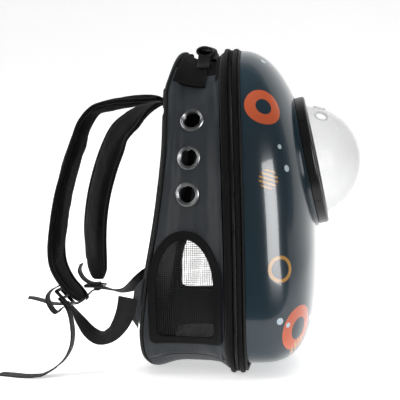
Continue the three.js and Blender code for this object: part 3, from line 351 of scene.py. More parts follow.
def bake(piece):
    """Applies a piece's modifiers."""
    deps = bpy.context.evaluated_depsgraph_get()
    deps.update()
    mesh = bpy.data.meshes.new_from_object(piece.evaluated_get(deps))
    old = piece.data
    name = old.name
    piece.modifiers.clear()
    piece.data = mesh
    bpy.data.meshes.remove(old)
    mesh.name = name


def resmooth(piece, sharp=40):
    mesh = piece.data
    mesh.polygons.foreach_set("use_smooth", [True] * len(mesh.polygons))
    mesh.set_sharp_from_angle(angle=math.radians(sharp))


def on_bubble(points):
    """Turned shapes have their axis up Y; this lays them along the bubble's axis."""
    x, y, z = np.moveaxis(np.asarray(points, float), -1, 0)
    x, y = y, -x
    a = math.radians(TILT)
    x, z = x * math.cos(a) - z * math.sin(a), x * math.sin(a) + z * math.cos(a)
    return np.stack([x + BUBBLE[0], y + BUBBLE[1], z + BUBBLE[2]], -1)


def lathe(profile, steps, place=on_bubble):
    t = np.linspace(0, 2 * math.pi, steps, endpoint=False)[:, None]
    r, h = np.array(profile, float).T
    rings = np.stack([r * np.cos(t), h + 0 * t, r * np.sin(t)], -1)
    return loft(place(rings), closed=True)


def rounded(points, radius, steps=3):
    """A closed profile with its corners rounded."""
    out = []
    n = len(points)
    p = np.array(points, float)
    for i in range(n):
        a, b, c = p[i - 1], p[i], p[(i + 1) % n]
        u, v = a - b, c - b
        lu, lv = np.linalg.norm(u), np.linalg.norm(v)
        r = min(radius, lu * 0.45, lv * 0.45)
        s, e = b + u / lu * r, b + v / lv * r
        for k in range(steps + 1):
            w = k / steps
            out.append((1 - w) ** 2 * s + 2 * w * (1 - w) * b + w * w * e)
    return np.array(out)


# Materials

def new_material(name):
    mat = bpy.data.materials.new(name)
    mat.use_nodes = True
    nodes, links = mat.node_tree.nodes, mat.node_tree.links
    return mat, nodes, links, nodes["Principled BSDF"]


def set_bsdf(bsdf, **values):
    names = {"color": "Base Color", "rough": "Roughness", "metal": "Metallic", "ior": "IOR",
             "sheen": "Sheen Weight", "sheen_rough": "Sheen Roughness", "sheen_tint": "Sheen Tint",
             "coat": "Coat Weight", "coat_rough": "Coat Roughness", "spec": "Specular IOR Level",
             "trans": "Transmission Weight", "alpha": "Alpha"}
    for key, value in values.items():
        bsdf.inputs[names[key]].default_value = value


def node(nodes, kind, **values):
    n = nodes.new(kind)
    for key, value in values.items():
        if key.startswith("in_"):
            slot_name = key[3:]
            n.inputs[int(slot_name) if slot_name.isdigit() else slot_name].default_value = value
        else:
            setattr(n, key, value)
    return n


def ramp(nodes, links, source, stops):
    r = nodes.new("ShaderNodeValToRGB")
    while len(r.color_ramp.elements) < len(stops):
        r.color_ramp.elements.new(0.5)
    for e, (at, color) in zip(r.color_ramp.elements, stops):
        e.position, e.color = at, (*color, 1) if len(color) == 3 else color
    links.new(source, r.inputs[0])
    return r.outputs[0]


def position(nodes):
    return nodes.new("ShaderNodeTexCoord").outputs["Object"]


def math_node(nodes, links, op, a, b=None, clamp=False):
    n = nodes.new("ShaderNodeMath")
    n.operation, n.use_clamp = op, clamp
    for k, v in enumerate((a, b)):
        if v is None:
            continue
        if isinstance(v, (int, float)):
            n.inputs[k].default_value = v
        else:
            links.new(v, n.inputs[k])
    return n.outputs[0]


def bump(nodes, links, bsdf, height, strength, distance, after=None):
    b = node(nodes, "ShaderNodeBump")
    b.inputs["Strength"].default_value = strength
    b.inputs["Distance"].default_value = distance
    links.new(height, b.inputs["Height"])
    if after is not None:
        links.new(after, b.inputs["Normal"])
    links.new(b.outputs[0], bsdf.inputs["Normal"])
    return b.outputs[0]


def fabric(name, dark, light, rough=0.75, pitch=0.0008, sheen=0.25, weave=0.5, spec=0.4, tint=(1, 1, 1)):
    """A plain woven cloth: two crossed sets of threads, with slow changes of tone."""
    mat, nodes, links, bsdf = new_material(name)
    at = position(nodes)
    slow = node(nodes, "ShaderNodeTexNoise", in_Scale=28.0, in_Detail=3.0)
    links.new(at, slow.inputs["Vector"])
    fine = node(nodes, "ShaderNodeTexNoise", in_Scale=700.0, in_Detail=2.0)
    links.new(at, fine.inputs["Vector"])
    tone = math_node(nodes, links, "ADD", math_node(nodes, links, "MULTIPLY", slow.outputs[0], 0.6),
                     math_node(nodes, links, "MULTIPLY", fine.outputs[0], 0.4))
    links.new(ramp(nodes, links, tone, [(0.3, dark), (0.7, light)]), bsdf.inputs["Base Color"])
    split = nodes.new("ShaderNodeSeparateXYZ")
    links.new(at, split.inputs[0])
    k = 2 * math.pi / pitch
    along = math_node(nodes, links, "ADD", split.outputs[0], split.outputs[1])
    one = math_node(nodes, links, "SINE", math_node(nodes, links, "MULTIPLY", along, k))
    two = math_node(nodes, links, "SINE", math_node(nodes, links, "MULTIPLY", split.outputs[2], k))
    cross = math_node(nodes, links, "ADD", math_node(nodes, links, "MULTIPLY", one, two),
                      math_node(nodes, links, "MULTIPLY", fine.outputs[0], 0.8))
    bump(nodes, links, bsdf, cross, weave, pitch * 0.35)
    set_bsdf(bsdf, rough=rough, sheen=sheen, sheen_rough=0.45, spec=spec, sheen_tint=(*tint, 1))
    return mat


def webbing_material(name, dark, light, pitch=0.0022, rough=0.6):
    """Woven tape with short herringbone ribs across it."""
    mat, nodes, links, bsdf = new_material(name)
    uv = nodes.new("ShaderNodeUVMap")
    uv.uv_map = "tape"
    split = nodes.new("ShaderNodeSeparateXYZ")
    links.new(uv.outputs[0], split.inputs[0])
    k = 2 * math.pi / pitch
    zig = math_node(nodes, links, "PINGPONG", split.outputs[1], 0.0031)
    slant = math_node(nodes, links, "ADD", split.outputs[0], zig)
    rib = math_node(nodes, links, "SINE", math_node(nodes, links, "MULTIPLY", slant, k))
    edge = math_node(nodes, links, "SINE", math_node(nodes, links, "MULTIPLY", split.outputs[1], k * 1.7))
    height = math_node(nodes, links, "ADD", rib, math_node(nodes, links, "MULTIPLY", edge, 0.5))
    slow = node(nodes, "ShaderNodeTexNoise", in_Scale=60.0, in_Detail=3.0)
    links.new(position(nodes), slow.inputs["Vector"])
    links.new(ramp(nodes, links, slow.outputs[0], [(0.3, dark), (0.7, light)]),
              bsdf.inputs["Base Color"])
    bump(nodes, links, bsdf, height, 0.45, 0.00025)
    set_bsdf(bsdf, rough=rough, sheen=0.04, sheen_rough=0.4, spec=0.2)
    return mat


def plastic(name, color, rough, grain=0.0, coat=0.0, spec=0.5):
    mat, nodes, links, bsdf = new_material(name)
    at = position(nodes)
    slow = node(nodes, "ShaderNodeTexNoise", in_Scale=35.0, in_Detail=4.0)
    links.new(at, slow.inputs["Vector"])
    lo = tuple(c * 0.85 for c in color)
    hi = tuple(min(c * 1.15 + 0.002, 1) for c in color)
    links.new(ramp(nodes, links, slow.outputs[0], [(0.3, lo), (0.7, hi)]), bsdf.inputs["Base Color"])
    vary = node(nodes, "ShaderNodeMapRange", in_3=rough * 0.85, in_4=min(rough * 1.2, 1))
    links.new(slow.outputs[0], vary.inputs[0])
    links.new(vary.outputs[0], bsdf.inputs["Roughness"])
    if grain:
        fine = node(nodes, "ShaderNodeTexNoise", in_Scale=1600.0, in_Detail=2.0)
        links.new(at, fine.inputs["Vector"])
        bump(nodes, links, bsdf, fine.outputs[0], grain, 0.00012)
    set_bsdf(bsdf, coat=coat, spec=spec)
    return mat


BLACK_NYLON = fabric("black_nylon", (.0026, .0026, .0028), (.0054, .0054, .0057), rough=.6, sheen=.015,
                     spec=.07)
NAVY_NYLON = fabric("navy_nylon", (.005, .0085, .0125), (.0095, .0155, .0215), rough=.4, sheen=.08,
                    spec=.45, tint=(.8, .9, 1))
PAD_CLOTH = fabric("pad_cloth", (.0026, .0027, .0026), (.0054, .0055, .0053), rough=.65, sheen=.015,
                   spec=.07)
WEBBING = webbing_material("webbing", (.006, .006, .0065), (.0125, .0125, .013))
BINDING_TAPE = fabric("binding_tape", (.0024, .0024, .0027), (.005, .005, .0053), rough=.5, sheen=.015,
                      pitch=.0006, spec=.1)
PIPING = fabric("piping", (.0048, .0048, .0052), (.0095, .0095, .01), rough=.45, sheen=.03,
                pitch=.0006, spec=.25)
THREAD = plastic("thread", (.012, .012, .013), .5, spec=.3)
ZIP = plastic("zip_coil", (.009, .009, .01), .28, spec=.45)
ZIP_METAL = plastic("zip_metal", (.012, .012, .013), .3, spec=.5)
RING_PLASTIC = plastic("ring_plastic", (.009, .0092, .0098), .3, grain=.15, spec=.35)
LOCK_PLASTIC = plastic("lock_plastic", (.007, .007, .0075), .38, grain=.1, spec=.3)
NET = plastic("net", (.03, .03, .032), .4, spec=.4)


def chrome_material():
    mat, nodes, links, bsdf = new_material("chrome")
    at = position(nodes)
    slow = node(nodes, "ShaderNodeTexNoise", in_Scale=90.0, in_Detail=3.0)
    links.new(at, slow.inputs["Vector"])
    links.new(ramp(nodes, links, slow.outputs[0], [(0.3, (.26, .265, .27)), (0.7, (.36, .365, .37))]),
              bsdf.inputs["Base Color"])
    vary = node(nodes, "ShaderNodeMapRange", in_3=0.24, in_4=0.32)
    links.new(slow.outputs[0], vary.inputs[0])
    links.new(vary.outputs[0], bsdf.inputs["Roughness"])
    set_bsdf(bsdf, metal=1.0)
    return mat


def clear_material():
    """Clear acrylic that also lets light straight through, so what lies behind stays pale."""
    mat, nodes, links, bsdf = new_material("clear_dome")
    set_bsdf(bsdf, rough=0.03, ior=1.46, spec=0.5, color=(.93, .94, .95, 1), alpha=0.16)
    mat.surface_render_method = "BLENDED"
    at = position(nodes)
    slow = node(nodes, "ShaderNodeTexNoise", in_Scale=14.0, in_Detail=2.0)
    links.new(at, slow.inputs["Vector"])
    # painted reflection and shade: the acrylic is made more opaque where it is seen edge-on, standing in for
    # the rim's reflection; the slow noise adds uneven haze in the plastic
    facing = node(nodes, "ShaderNodeLayerWeight", in_Blend=0.22)
    rim_reflection_and_haze = math_node(nodes, links, "ADD", math_node(nodes, links, "MULTIPLY", facing.outputs[1], 0.26),
                     math_node(nodes, links, "MULTIPLY", slow.outputs[0], 0.06), clamp=True)
    lifted = math_node(nodes, links, "ADD", rim_reflection_and_haze, 0.05, clamp=True)
    links.new(lifted, bsdf.inputs["Alpha"])
    # painted rim shade: the colour goes from pale grey face-on to darker grey where the dome is seen edge-on
    links.new(ramp(nodes, links, facing.outputs[1], [(0.2, (.6, .61, .62)), (1, (.36, .37, .38))]),
              bsdf.inputs["Base Color"])
    return mat


def fleece_material():
    mat, nodes, links, bsdf = new_material("fleece")
    at = position(nodes)
    tuft = node(nodes, "ShaderNodeTexNoise", in_Scale=160.0, in_Detail=5.0)
    links.new(at, tuft.inputs["Vector"])
    slow = node(nodes, "ShaderNodeTexNoise", in_Scale=24.0, in_Detail=3.0)
    links.new(at, slow.inputs["Vector"])
    both = math_node(nodes, links, "ADD", math_node(nodes, links, "MULTIPLY", tuft.outputs[0], 0.5),
                     math_node(nodes, links, "MULTIPLY", slow.outputs[0], 0.5))
    links.new(ramp(nodes, links, both, [(0.35, (.05, .05, .052)), (0.65, (.13, .13, .132))]),
              bsdf.inputs["Base Color"])
    bump(nodes, links, bsdf, tuft.outputs[0], 0.9, 0.002)
    set_bsdf(bsdf, rough=0.95, sheen=0.5, sheen_rough=0.6, spec=0.2)
    return mat


def shell_material():
    """Glossy navy plastic with a plain print of rings, bars, dots and short stripes."""
    mat, nodes, links, bsdf = new_material("printed_shell")
    at = position(nodes)
    wobble = node(nodes, "ShaderNodeTexNoise", in_Scale=9.0, in_Detail=2.0)
    links.new(at, wobble.inputs["Vector"])
    color = ramp(nodes, links, wobble.outputs[0], [(0.3, (.0125, .031, .045)), (0.7, (.0165, .039, .056))])

    def distance(x, y, z):
        d = node(nodes, "ShaderNodeVectorMath", operation="DISTANCE")
        links.new(at, d.inputs[0])
        d.inputs[1].default_value = ((x - ORIGIN_X) / 1000, y / 1000, z / 1000)
        return d.outputs["Value"]

    def below(value, limit):
        # a hair's breadth of blur keeps the edge of the ink clean
        return math_node(nodes, links, "MULTIPLY",
                         math_node(nodes, links, "SUBTRACT", limit, value), 4000, clamp=True)

    def both(a, b):
        return math_node(nodes, links, "MULTIPLY", a, b)

    def paint(mask, rgb):
        nonlocal color
        m = node(nodes, "ShaderNodeMix", data_type="RGBA")
        links.new(mask, m.inputs[0])
        links.new(color, m.inputs[6])
        m.inputs[7].default_value = (*rgb, 1)
        color = m.outputs[2]

    for kind, centre, size, rgb in PRINT:
        d = distance(*centre)
        if kind == "disc":
            paint(below(d, size[0] / 1000), rgb)
        elif kind == "ring":
            inside = below(d, size[0] / 1000)
            hole = math_node(nodes, links, "SUBTRACT", 1.0, below(d, size[1] / 1000), clamp=True)
            paint(both(inside, hole), rgb)
        elif kind == "stripes":
            inside = below(d, size[0] / 1000)
            lean = node(nodes, "ShaderNodeVectorMath", operation="DOT_PRODUCT")
            links.new(at, lean.inputs[0])
            lean.inputs[1].default_value = size[2]
            wave = math_node(nodes, links, "SINE", math_node(
                nodes, links, "MULTIPLY", lean.outputs["Value"], 2 * math.pi / (size[1] / 1000)))
            line = math_node(nodes, links, "MULTIPLY", math_node(
                nodes, links, "SUBTRACT", wave, 0.05), 6.0, clamp=True)
            paint(both(inside, line), rgb)
    links.new(color, bsdf.inputs["Base Color"])
    peel = node(nodes, "ShaderNodeTexNoise", in_Scale=220.0, in_Detail=1.0)
    links.new(at, peel.inputs["Vector"])
    bump(nodes, links, bsdf, peel.outputs[0], 0.02, 0.0002)
    set_bsdf(bsdf, rough=0.22, spec=0.4, coat=0.55, coat_rough=0.035)
    return mat


ORANGE, GOLD, ICE, NAVY_INK = (.72, .13, .045), (.62, .32, .07), (.62, .76, .82), (.012, .018, .026)
PRINT = []


def print_layout():
    """Generic motifs by their turn round the shell and their climb to its crown."""
    rows = [
        # kind, hoop degrees, climb degrees, size, colour
        ("ring", 222, 38, (30, 15), ORANGE), ("ring", 139, 16, (25, 11), ORANGE),
        ("ring", 318, 40, (30, 15), ORANGE), ("ring", 41, 22, (27, 12), ORANGE),
        ("ring", 184, 24, (17, 12.5), GOLD), ("ring", 356, 26, (17, 12.5), GOLD),
        ("disc", 204, 20, (4.6,), ICE), ("disc", 210, 27, (3.4,), ICE),
        ("disc", 160, 34, (4.4,), ICE), ("disc", 153, 28, (3.2,), ICE),
        ("disc", 336, 20, (4.6,), ICE), ("disc", 22, 34, (4.4,), ICE),
        ("disc", 236, 55, (4.4,), ICE), ("disc", 304, 55, (4.4,), ICE),
        ("disc", 270, 50, (10,), GOLD), ("disc", 270, 50, (6.6,), NAVY_INK),
        ("stripes", 166, 17, (13, 5, (.3, 0, .95)), GOLD),
        ("stripes", 14, 17, (13, 5, (.3, 0, .95)), GOLD),
        ("stripes", 240, 34, (15, 5.5, (0, .55, .83)), GOLD),
        ("stripes", 298, 34, (15, 5.5, (0, -.55, .83)), GOLD),
        ("disc", 90, 20, (7,), ORANGE), ("disc", 74, 17, (3.6,), ICE), ("disc", 106, 17, (3.6,), ICE),
    ]
    for kind, hoop, climb, size, rgb in rows:
        p = shell_point(np.radians(float(hoop)), np.radians(float(climb)), 0)
        PRINT.append((kind, tuple(float(v) for v in p), size, rgb))


print_layout()
SHELL = shell_material()
CLEAR = clear_material()
CHROME = chrome_material()
FLEECE = fleece_material()

NODE_FINISH = {}


# Shell, bubble and band

def cylinder(radius, low, high, steps=160, place=on_bubble):
    t = np.linspace(0, 2 * math.pi, steps, endpoint=False)
    ring = np.stack([radius * np.cos(t), 0 * t, radius * np.sin(t)], -1)
    return loft(place(np.stack([ring + [0, low, 0], ring + [0, high, 0]])))


RING_BACK = -RING_THICK / 2
LAND_FRONT = RING_BACK - FIT
LAND_BACK = LAND_FRONT - LAND_DEPTH
LUG_BACK = LAND_BACK - FIT - LUG_THICK
LUG_TURNS = [60, 180, 300]


def sector(inner, outer, low, high, start, end, steps=9):
    t = np.radians(np.linspace(start, end, steps))
    rings = [[(r * math.cos(a), h, r * math.sin(a)) for r, h in
              ((inner, low), (outer, low), (outer, high), (inner, high))] for a in t]
    return loft(on_bubble(np.array(rings)))


def build_shell():
    hoops = np.linspace(0, 2 * math.pi, 240, endpoint=False)[:, None]
    climbs = np.linspace(0, math.pi / 2, 44) ** 1.0
    outer = shell_point(hoops, climbs, 0)
    inner = shell_point(hoops, climbs[::-1], SHELL_WALL)
    lip = shell_point(hoops, climbs[:1], SHELL_WALL / 2) - [0.5, 0, 0]
    points, faces = loft(np.concatenate([outer, inner, lip], 1), closed=True)
    piece = make("shell_look", points, faces, SHELL, "shell", "shell_plastic", 30)
    cut(piece, [cylinder(APERTURE + 0.2, LAND_BACK - 60, LAND_FRONT + 30)])
    cut(piece, [cylinder(APERTURE + LAND_WIDTH, LAND_FRONT, LAND_FRONT + 40)])
    resmooth(piece, 30)
    low, high = LAND_BACK, LAND_FRONT
    profile = rounded([(APERTURE, low), (APERTURE + LAND_WIDTH, low),
                       (APERTURE + LAND_WIDTH, high), (APERTURE, high)], 0.7)
    land = make("shell_land", *lathe(profile, 192), SHELL, None, "shell_plastic", 30)
    cut(land, [sector(APERTURE - 2, APERTURE + LUG_REACH, LAND_BACK - 1, LAND_FRONT - 2,
                      t + LUG_TURN - LUG_ANGLE / 2 - 1, t + LUG_TURN + LUG_ANGLE / 2 + 1)
               for t in LUG_TURNS])
    resmooth(land, 30)


def build_ring():
    sleeve = APERTURE - FIT
    inner, half = DOME_R + FIT, RING_THICK / 2
    profile = [(sleeve - SLEEVE_WALL, LUG_BACK), (sleeve, LUG_BACK), (sleeve, -half),
               (RING_R - 0.8, -half), (RING_R, -half + 0.8)]
    profile += [(RING_R - 3.2 + 3.2 * math.cos(a), half - 3.2 + 3.2 * math.sin(a))
                for a in np.radians(np.linspace(0, 90, 10))]
    profile += [(inner + 0.7, half), (inner, half - 0.7), (inner, 1 - half), (sleeve - SLEEVE_WALL, 1 - half)]
    piece = make("bubble_ring_look", *lathe(profile, 256), RING_PLASTIC, "bubble_ring",
                 "black_plastic", 30, "bubble")
    seams = [sector(RING_R - 1.2, RING_R + 2, -half + 1.2, half - 3.4, t - 0.25, t + 0.25, 3)
             for t in (38, 142, 218, 322)]
    cut(piece, seams)
    resmooth(piece, 30)
    lugs = [sector(sleeve - 1, APERTURE + LUG_REACH - 0.6, LUG_BACK, LUG_BACK + LUG_THICK,
                   t - LUG_ANGLE / 2, t + LUG_ANGLE / 2) for t in LUG_TURNS]
    merged_points, merged_faces, base = [], [], 0
    for points, faces in lugs:
        merged_points.append(points)
        merged_faces += [[i + base for i in f] for f in faces]
        base += len(points)
    make("bubble_lugs", np.concatenate(merged_points), merged_faces, RING_PLASTIC, None,
         "black_plastic", 30, "bubble")


def build_dome():
    base = math.asin((DOME_SINK - RING_THICK / 2 + 1 + FIT) / DOME_R)
    inside = DOME_R - DOME_WALL
    foot = math.asin(DOME_R * math.sin(base) / inside)
    top = math.pi / 2 - 0.004
    profile = [(DOME_R * math.cos(a), DOME_R * math.sin(a) - DOME_SINK)
               for a in np.linspace(base, top, 56)]
    profile += [(inside * math.cos(a), inside * math.sin(a) - DOME_SINK)
                for a in np.linspace(top, foot, 54)]
    points, faces = lathe(profile, 160)
    piece = make("dome_look", points, faces, CLEAR, "dome", "clear_dome", 30, "bubble")
    for spread in (-VENT_SPREAD, 0, VENT_SPREAD):
        a, b = math.radians(VENT_POLAR), math.radians(spread)

        def place(p, a=a, b=b):
            x, y, z = np.moveaxis(np.asarray(p, float), -1, 0)
            y = y + DOME_R
            y, z = y * math.cos(a) - z * math.sin(a), y * math.sin(a) + z * math.cos(a)
            x, z = x * math.cos(b) + z * math.sin(b), -x * math.sin(b) + z * math.cos(b)
            return on_bubble(np.stack([x, y - DOME_SINK, z], -1))
        cut(piece, [cylinder(VENT_R, -10, 10, 40, place)])
        rim = rounded([(VENT_R - 0.1, -DOME_WALL - 0.2), (VENT_R + 1.3, -DOME_WALL - 0.2),
                       (VENT_R + 1.3, 0.7), (VENT_R - 0.1, 0.7)], 0.4, 2)
        make(f"vent_rim_{int(spread) + 40}", *lathe(rim, 48, place), CLEAR, None, "clear_dome", 40,
             "bubble")
    resmooth(piece, 30)


def band_loop(section, steps=360):
    turns = np.linspace(0, 2 * math.pi, steps, endpoint=False)
    rings = []
    for x, inset in section:
        y, z = band_outline(turns, inset)
        rings.append(np.stack([band_x(z) + x, y, z], -1))
    return loft(np.stack(rings, 1), closed=True)


def bead(x, inset, size, steps=10):
    return [(x + size / 2 * math.sin(a), inset - size / 2 * math.cos(a))
            for a in np.linspace(0, 2 * math.pi, steps, endpoint=False)]


def build_band():
    make("front_piping_look", *band_loop(bead(FRONT_X, FRONT_INSET, FRONT_PIPING)), PIPING,
         "front_piping", "piping", 60)
    make("rear_piping_look", *band_loop(bead(REAR_X, REAR_INSET, REAR_PIPING)), PIPING,
         "rear_piping", "piping", 60)
    flange = rounded([(BODY_FRONT - 5, 3), (FLAP_REAR + 1.5, 3), (FLAP_REAR + 1.5, 4.4),
                      (BODY_FRONT - 5, 4.4)], 0.3, 1)
    make("seam_flange_rear", *band_loop([(x, i + 8 * (x < FLAP_REAR)) for x, i in flange]), BINDING_TAPE,
         None, "webbing", 60)
    for name, x, turned in (("front", FLAP_FRONT, 1), ("rear", FLAP_REAR, -1)):
        edge = [(x, FLAP_DEPTH), (x + FLAP_WIDTH, FLAP_DEPTH)]
        cover = [(x + FLAP_WIDTH * (0.5 + 0.5 * math.cos(a)), 1.9 - 1.9 * math.sin(a) ** 0.7)
                 for a in np.radians(np.linspace(4, 176, 13))]
        make(f"zip_flap_{name}_look", *band_loop(rounded(edge, 0.4, 1).tolist() + cover),
             BINDING_TAPE, f"zip_flap_{name}", "webbing", 50)
    build_coil()
    for i, turn in enumerate((18, 34)):
        build_slider(i + 1, turn)


def loop_length_turns(count):
    """Turns that are evenly spaced along the band."""
    fine = np.linspace(0, 2 * math.pi, 3601)
    y, z = band_outline(fine, COIL_RECESS)
    length = np.concatenate([[0], np.cumsum(np.hypot(np.diff(y), np.diff(z)))])
    return np.interp(np.linspace(0, length[-1], count, endpoint=False), length, fine), length[-1]


def build_coil():
    """A coil zip: rounded teeth across the gap between the flaps."""
    _, total = loop_length_turns(10)
    teeth = int(total / 1.9)
    turns, _ = loop_length_turns(teeth * 5)
    wave = 0.5 - 0.5 * np.cos(np.arange(len(turns)) * 2 * math.pi / 5)
    half, deep = COIL_WIDTH / 2, COIL_RECESS + COIL_THICK
    section = [(-half, deep, 0), (half, deep, 0), (half, COIL_RECESS + 1.2, 0),
               (half * 0.75, COIL_RECESS + 0.2, 1), (0, COIL_RECESS, 0.75),
               (-half * 0.75, COIL_RECESS + 0.2, 1), (-half, COIL_RECESS + 1.2, 0)]
    rings = []
    for x, inset, share in section:
        y, z = band_outline(turns, inset + 0.75 * share * wave)
        rings.append(np.stack([band_x(z) + x, y, z], -1))
    make("zip_coil_look", *loft(np.stack(rings, 1), closed=True), ZIP, "zip_coil", "zip", 60)


def build_slider(index, turn):
    def stretch(start, end, section, steps=9):
        t = np.radians(np.linspace(start, end, steps))
        rings = []
        for x, inset in section:
            y, z = band_outline(t, inset)
            rings.append(np.stack([band_x(z) + x, y, z], -1))
        return loft(np.stack(rings, 1))
    neck = COIL_WIDTH / 2 - FIT
    body = rounded([(-neck, COIL_RECESS - FIT), (neck, COIL_RECESS - FIT), (neck, -FIT), (4.6, -FIT),
                    (4.6, -3), (-4.6, -3), (-4.6, -FIT), (-neck, -FIT)], 0.7, 2)
    p1, f1 = stretch(turn, turn + 5, body)
    pull = rounded([(-2.6, -2.85), (2.6, -2.85), (2.6, -4.4), (-2.6, -4.4)], 0.5, 2)
    p2, f2 = stretch(turn - 9, turn + 3, pull, 13)
    make(f"zip_slider_{index}_look", np.concatenate([p1, p2]),
         f1 + [[i + len(p1) for i in f] for f in f2], ZIP_METAL, f"zip_slider_{index}", "zip_metal", 40)


# Cloth body

def cloth_dents(p, side):
    """How far the cloth of a side or the top stands in or out, in millimetres."""
    x, y, z = p[..., 0], p[..., 1], p[..., 2]
    soft = 0.9 * fbm(p, 62, 3.1 + side) + 0.35 * fbm(p, 21, 9.7 + side)
    along = (band_x(z) + BODY_FRONT - x) / (band_x(z) + BODY_FRONT - back_x(z))
    pucker = 0.28 * np.sin(z / 5.1 + 3 * fbm(p, 40, 5)) * (
        bump_at(along, 0, 0.07) + bump_at(along, 1, 0.09))
    held = np.clip(along / 0.06, 0, 1) * np.clip((1 - along) / 0.06, 0, 1)
    folds = 0
    for cx, cz, dx, dz, lx, lz, deep in (
            (-48, 215, 0.35, 1, 9, 34, -1.3), (-70, 232, 0.15, 1, 8, 40, 0.9),
            (-28, 205, -0.25, 1, 8, 30, 0.8), (-96, 150, 0.3, 1, 7, 50, -0.9),
            (-92, 60, 0.2, 1, 6, 30, 0.8), (-30, 330, 0.6, 1, 10, 26, -0.7),
            (-75, 340, -0.5, 1, 12, 28, 0.8)):
        u, v = x - cx, z - cz
        n = math.hypot(dx, dz)
        s, t = (u * dx + v * dz) / n, (u * dz - v * dx) / n
        folds = folds + deep * np.exp(-(t / lx) ** 2 - (s / lz) ** 2)
    welt = 2.2 * bump_at(along, 0.87, 0.09) - 1.2 * bump_at(along, 0.7, 0.1) + 1.4 * bump_at(along, 0.22, 0.12)
    return (soft + folds + (welt if side in SILL else 0)) * held + pucker


def panel(name, start, end, node_name, slot_name, side, rows, material, cutters=(), insets=(0, CLOTH)):
    seam = 0.35
    turns = np.radians(np.linspace(start + seam, end - seam, rows))[:, None]
    along = np.linspace(0, 1, 56)
    outer, inner = body_point(turns, along, insets[0]), body_point(turns, along, insets[1])
    n = grid_normals(outer)
    centre = np.array([-50, 0, 200.0])
    if ((outer - centre) * n).sum() < 0:
        n = -n
    rise = cloth_dents(outer, side)
    fade = np.minimum(np.arange(rows), np.arange(rows)[::-1]) / (rows * 0.04)
    rise = rise * np.clip(fade, 0.15, 1)[:, None]
    gap = np.linalg.norm(outer - inner, axis=-1)
    outer = outer + n * rise[..., None]
    inner = inner + n * rise[..., None]
    piece = make(name, *slab(outer, inner), material, node_name, slot_name, 50)
    if cutters:
        cut(piece, cutters)
        resmooth(piece, 50)
    return piece


def window_outline(side, inset, arch_steps=49, line_steps=24):
    half, rise = WINDOW_HALF - inset, WINDOW_TOP - WINDOW_SPRING - inset
    sill = SILL[side] + inset
    corner = WINDOW_CORNER
    t = np.linspace(0, math.pi, arch_steps)
    arch = np.stack([WINDOW_X + half * np.cos(t), WINDOW_SPRING + rise * np.sin(t)], 1)
    zs = np.linspace(WINDOW_SPRING, sill + corner, line_steps)[1:]
    left = np.stack([np.full_like(zs, WINDOW_X - half), zs], 1)
    q = np.radians(np.linspace(0, 90, 8))[1:]
    turn_left = np.stack([WINDOW_X - half + corner * (1 - np.cos(q)), sill + corner * (1 - np.sin(q))], 1)
    xs = np.linspace(WINDOW_X - half + corner, WINDOW_X + half - corner, 20)[1:-1]
    foot = np.stack([xs, np.full_like(xs, sill)], 1)
    mirror = lambda a: np.stack([2 * WINDOW_X - a[::-1, 0], a[::-1, 1]], 1)
    return np.concatenate([arch, left, turn_left, foot, mirror(turn_left), mirror(left)])


def window_cutter(side):
    flat = window_outline(side, BINDING / 2)
    near, far = (side * 60, side * 200)
    rings = np.stack([np.stack([flat[:, 0], np.full(len(flat), y), flat[:, 1]], 1) for y in (near, far)])
    return loft(rings)


def eyelet_place(row, side):
    x, z = -row[0] * BODY_DEPTH, row[1] * HEIGHT
    sx = (side_y(x + 1, z) - side_y(x - 1, z)) / 2
    sz = (side_y(x, z + 1) - side_y(x, z - 1)) / 2
    normal = Vector((-float(sx), side, -float(sz))).normalized()
    spin = Vector((0, 1, 0)).rotation_difference(normal).to_matrix()
    seat = Vector((x, side * float(side_y(x, z)), z)) - normal * EYELET_SINK
    m, s = np.array(spin), np.array(seat)
    return lambda p: np.asarray(p, float) @ m.T + s


def build_eyelet(row, side, index):
    place = eyelet_place(row, side)
    back = -CLOTH - FIT
    profile = [(EYELET_BORE, back - 1.3), (EYELET_R - 1.5, back - 1.3), (EYELET_R - 1.5, back),
               (EYELET_BORE + 1.5, back), (EYELET_BORE + 1.5, 0.2), (EYELET_R, 0.2)]
    rim = [(0.0, 0.5), (0.35, 1.25), (1.0, 1.95), (1.8, 2.3), (2.5, 2.25), (2.9, 1.95), (3.05, 1.75),
           (3.3, 1.85), (3.8, 1.95), (4.4, 1.75), (4.8, 1.2), (5.0, 0.4)]
    profile += [(EYELET_R - r, h) for r, h in rim]
    name = f"eyelet_{SIDE_WORD[side]}_{index}"
    make(name + "_look", *lathe(profile, 72, place), CHROME, name, "chrome", 50)


def build_side(side):
    word = SIDE_WORD[side]
    start, end = (-SEAM_FOOT, SEAM_TOP) if side > 0 else (180 - SEAM_TOP, 180 + SEAM_FOOT)
    cutters = [window_cutter(side)]
    for row in EYELETS:
        place = eyelet_place(row, side)
        cutters.append(cylinder(EYELET_BORE + 1.8, -20, 20, 40, place))
    panel(f"side_panel_{word}_look", start, end, f"side_panel_{word}", "navy_nylon", side, 170,
          NAVY_NYLON, cutters)
    for i, row in enumerate(EYELETS):
        build_eyelet(row, side, i + 1)
    build_binding(side)
    build_net(side)


def side_lift(x, z, side):
    """The cloth's own rise at a place on the side, so what is sewn on it follows it."""
    p = np.stack([x, side * side_y(x, z), z], -1)
    return cloth_dents(p, side)


def build_binding(side):
    word = SIDE_WORD[side]
    section = [(0.0, 0.9), (0.25, 1.9), (1.0, 2.5), (2.2, 2.75), (3.6, 2.6), (5.5, 2.45), (7.4, 2.6),
               (8.8, 2.75), (10.0, 2.5), (10.75, 1.9), (11.0, 0.9), (5.5, 0.7)]
    rings = []
    for inset, out in section:
        flat = window_outline(side, inset)
        lift = side_lift(flat[:, 0], flat[:, 1], side) * 0.7
        y = side * (side_y(flat[:, 0], flat[:, 1]) + out + lift)
        rings.append(np.stack([flat[:, 0], y, flat[:, 1]], 1))
    make(f"window_binding_{word}_look", *loft(np.stack(rings, 1), closed=True), BINDING_TAPE,
         f"window_binding_{word}", "webbing", 50)


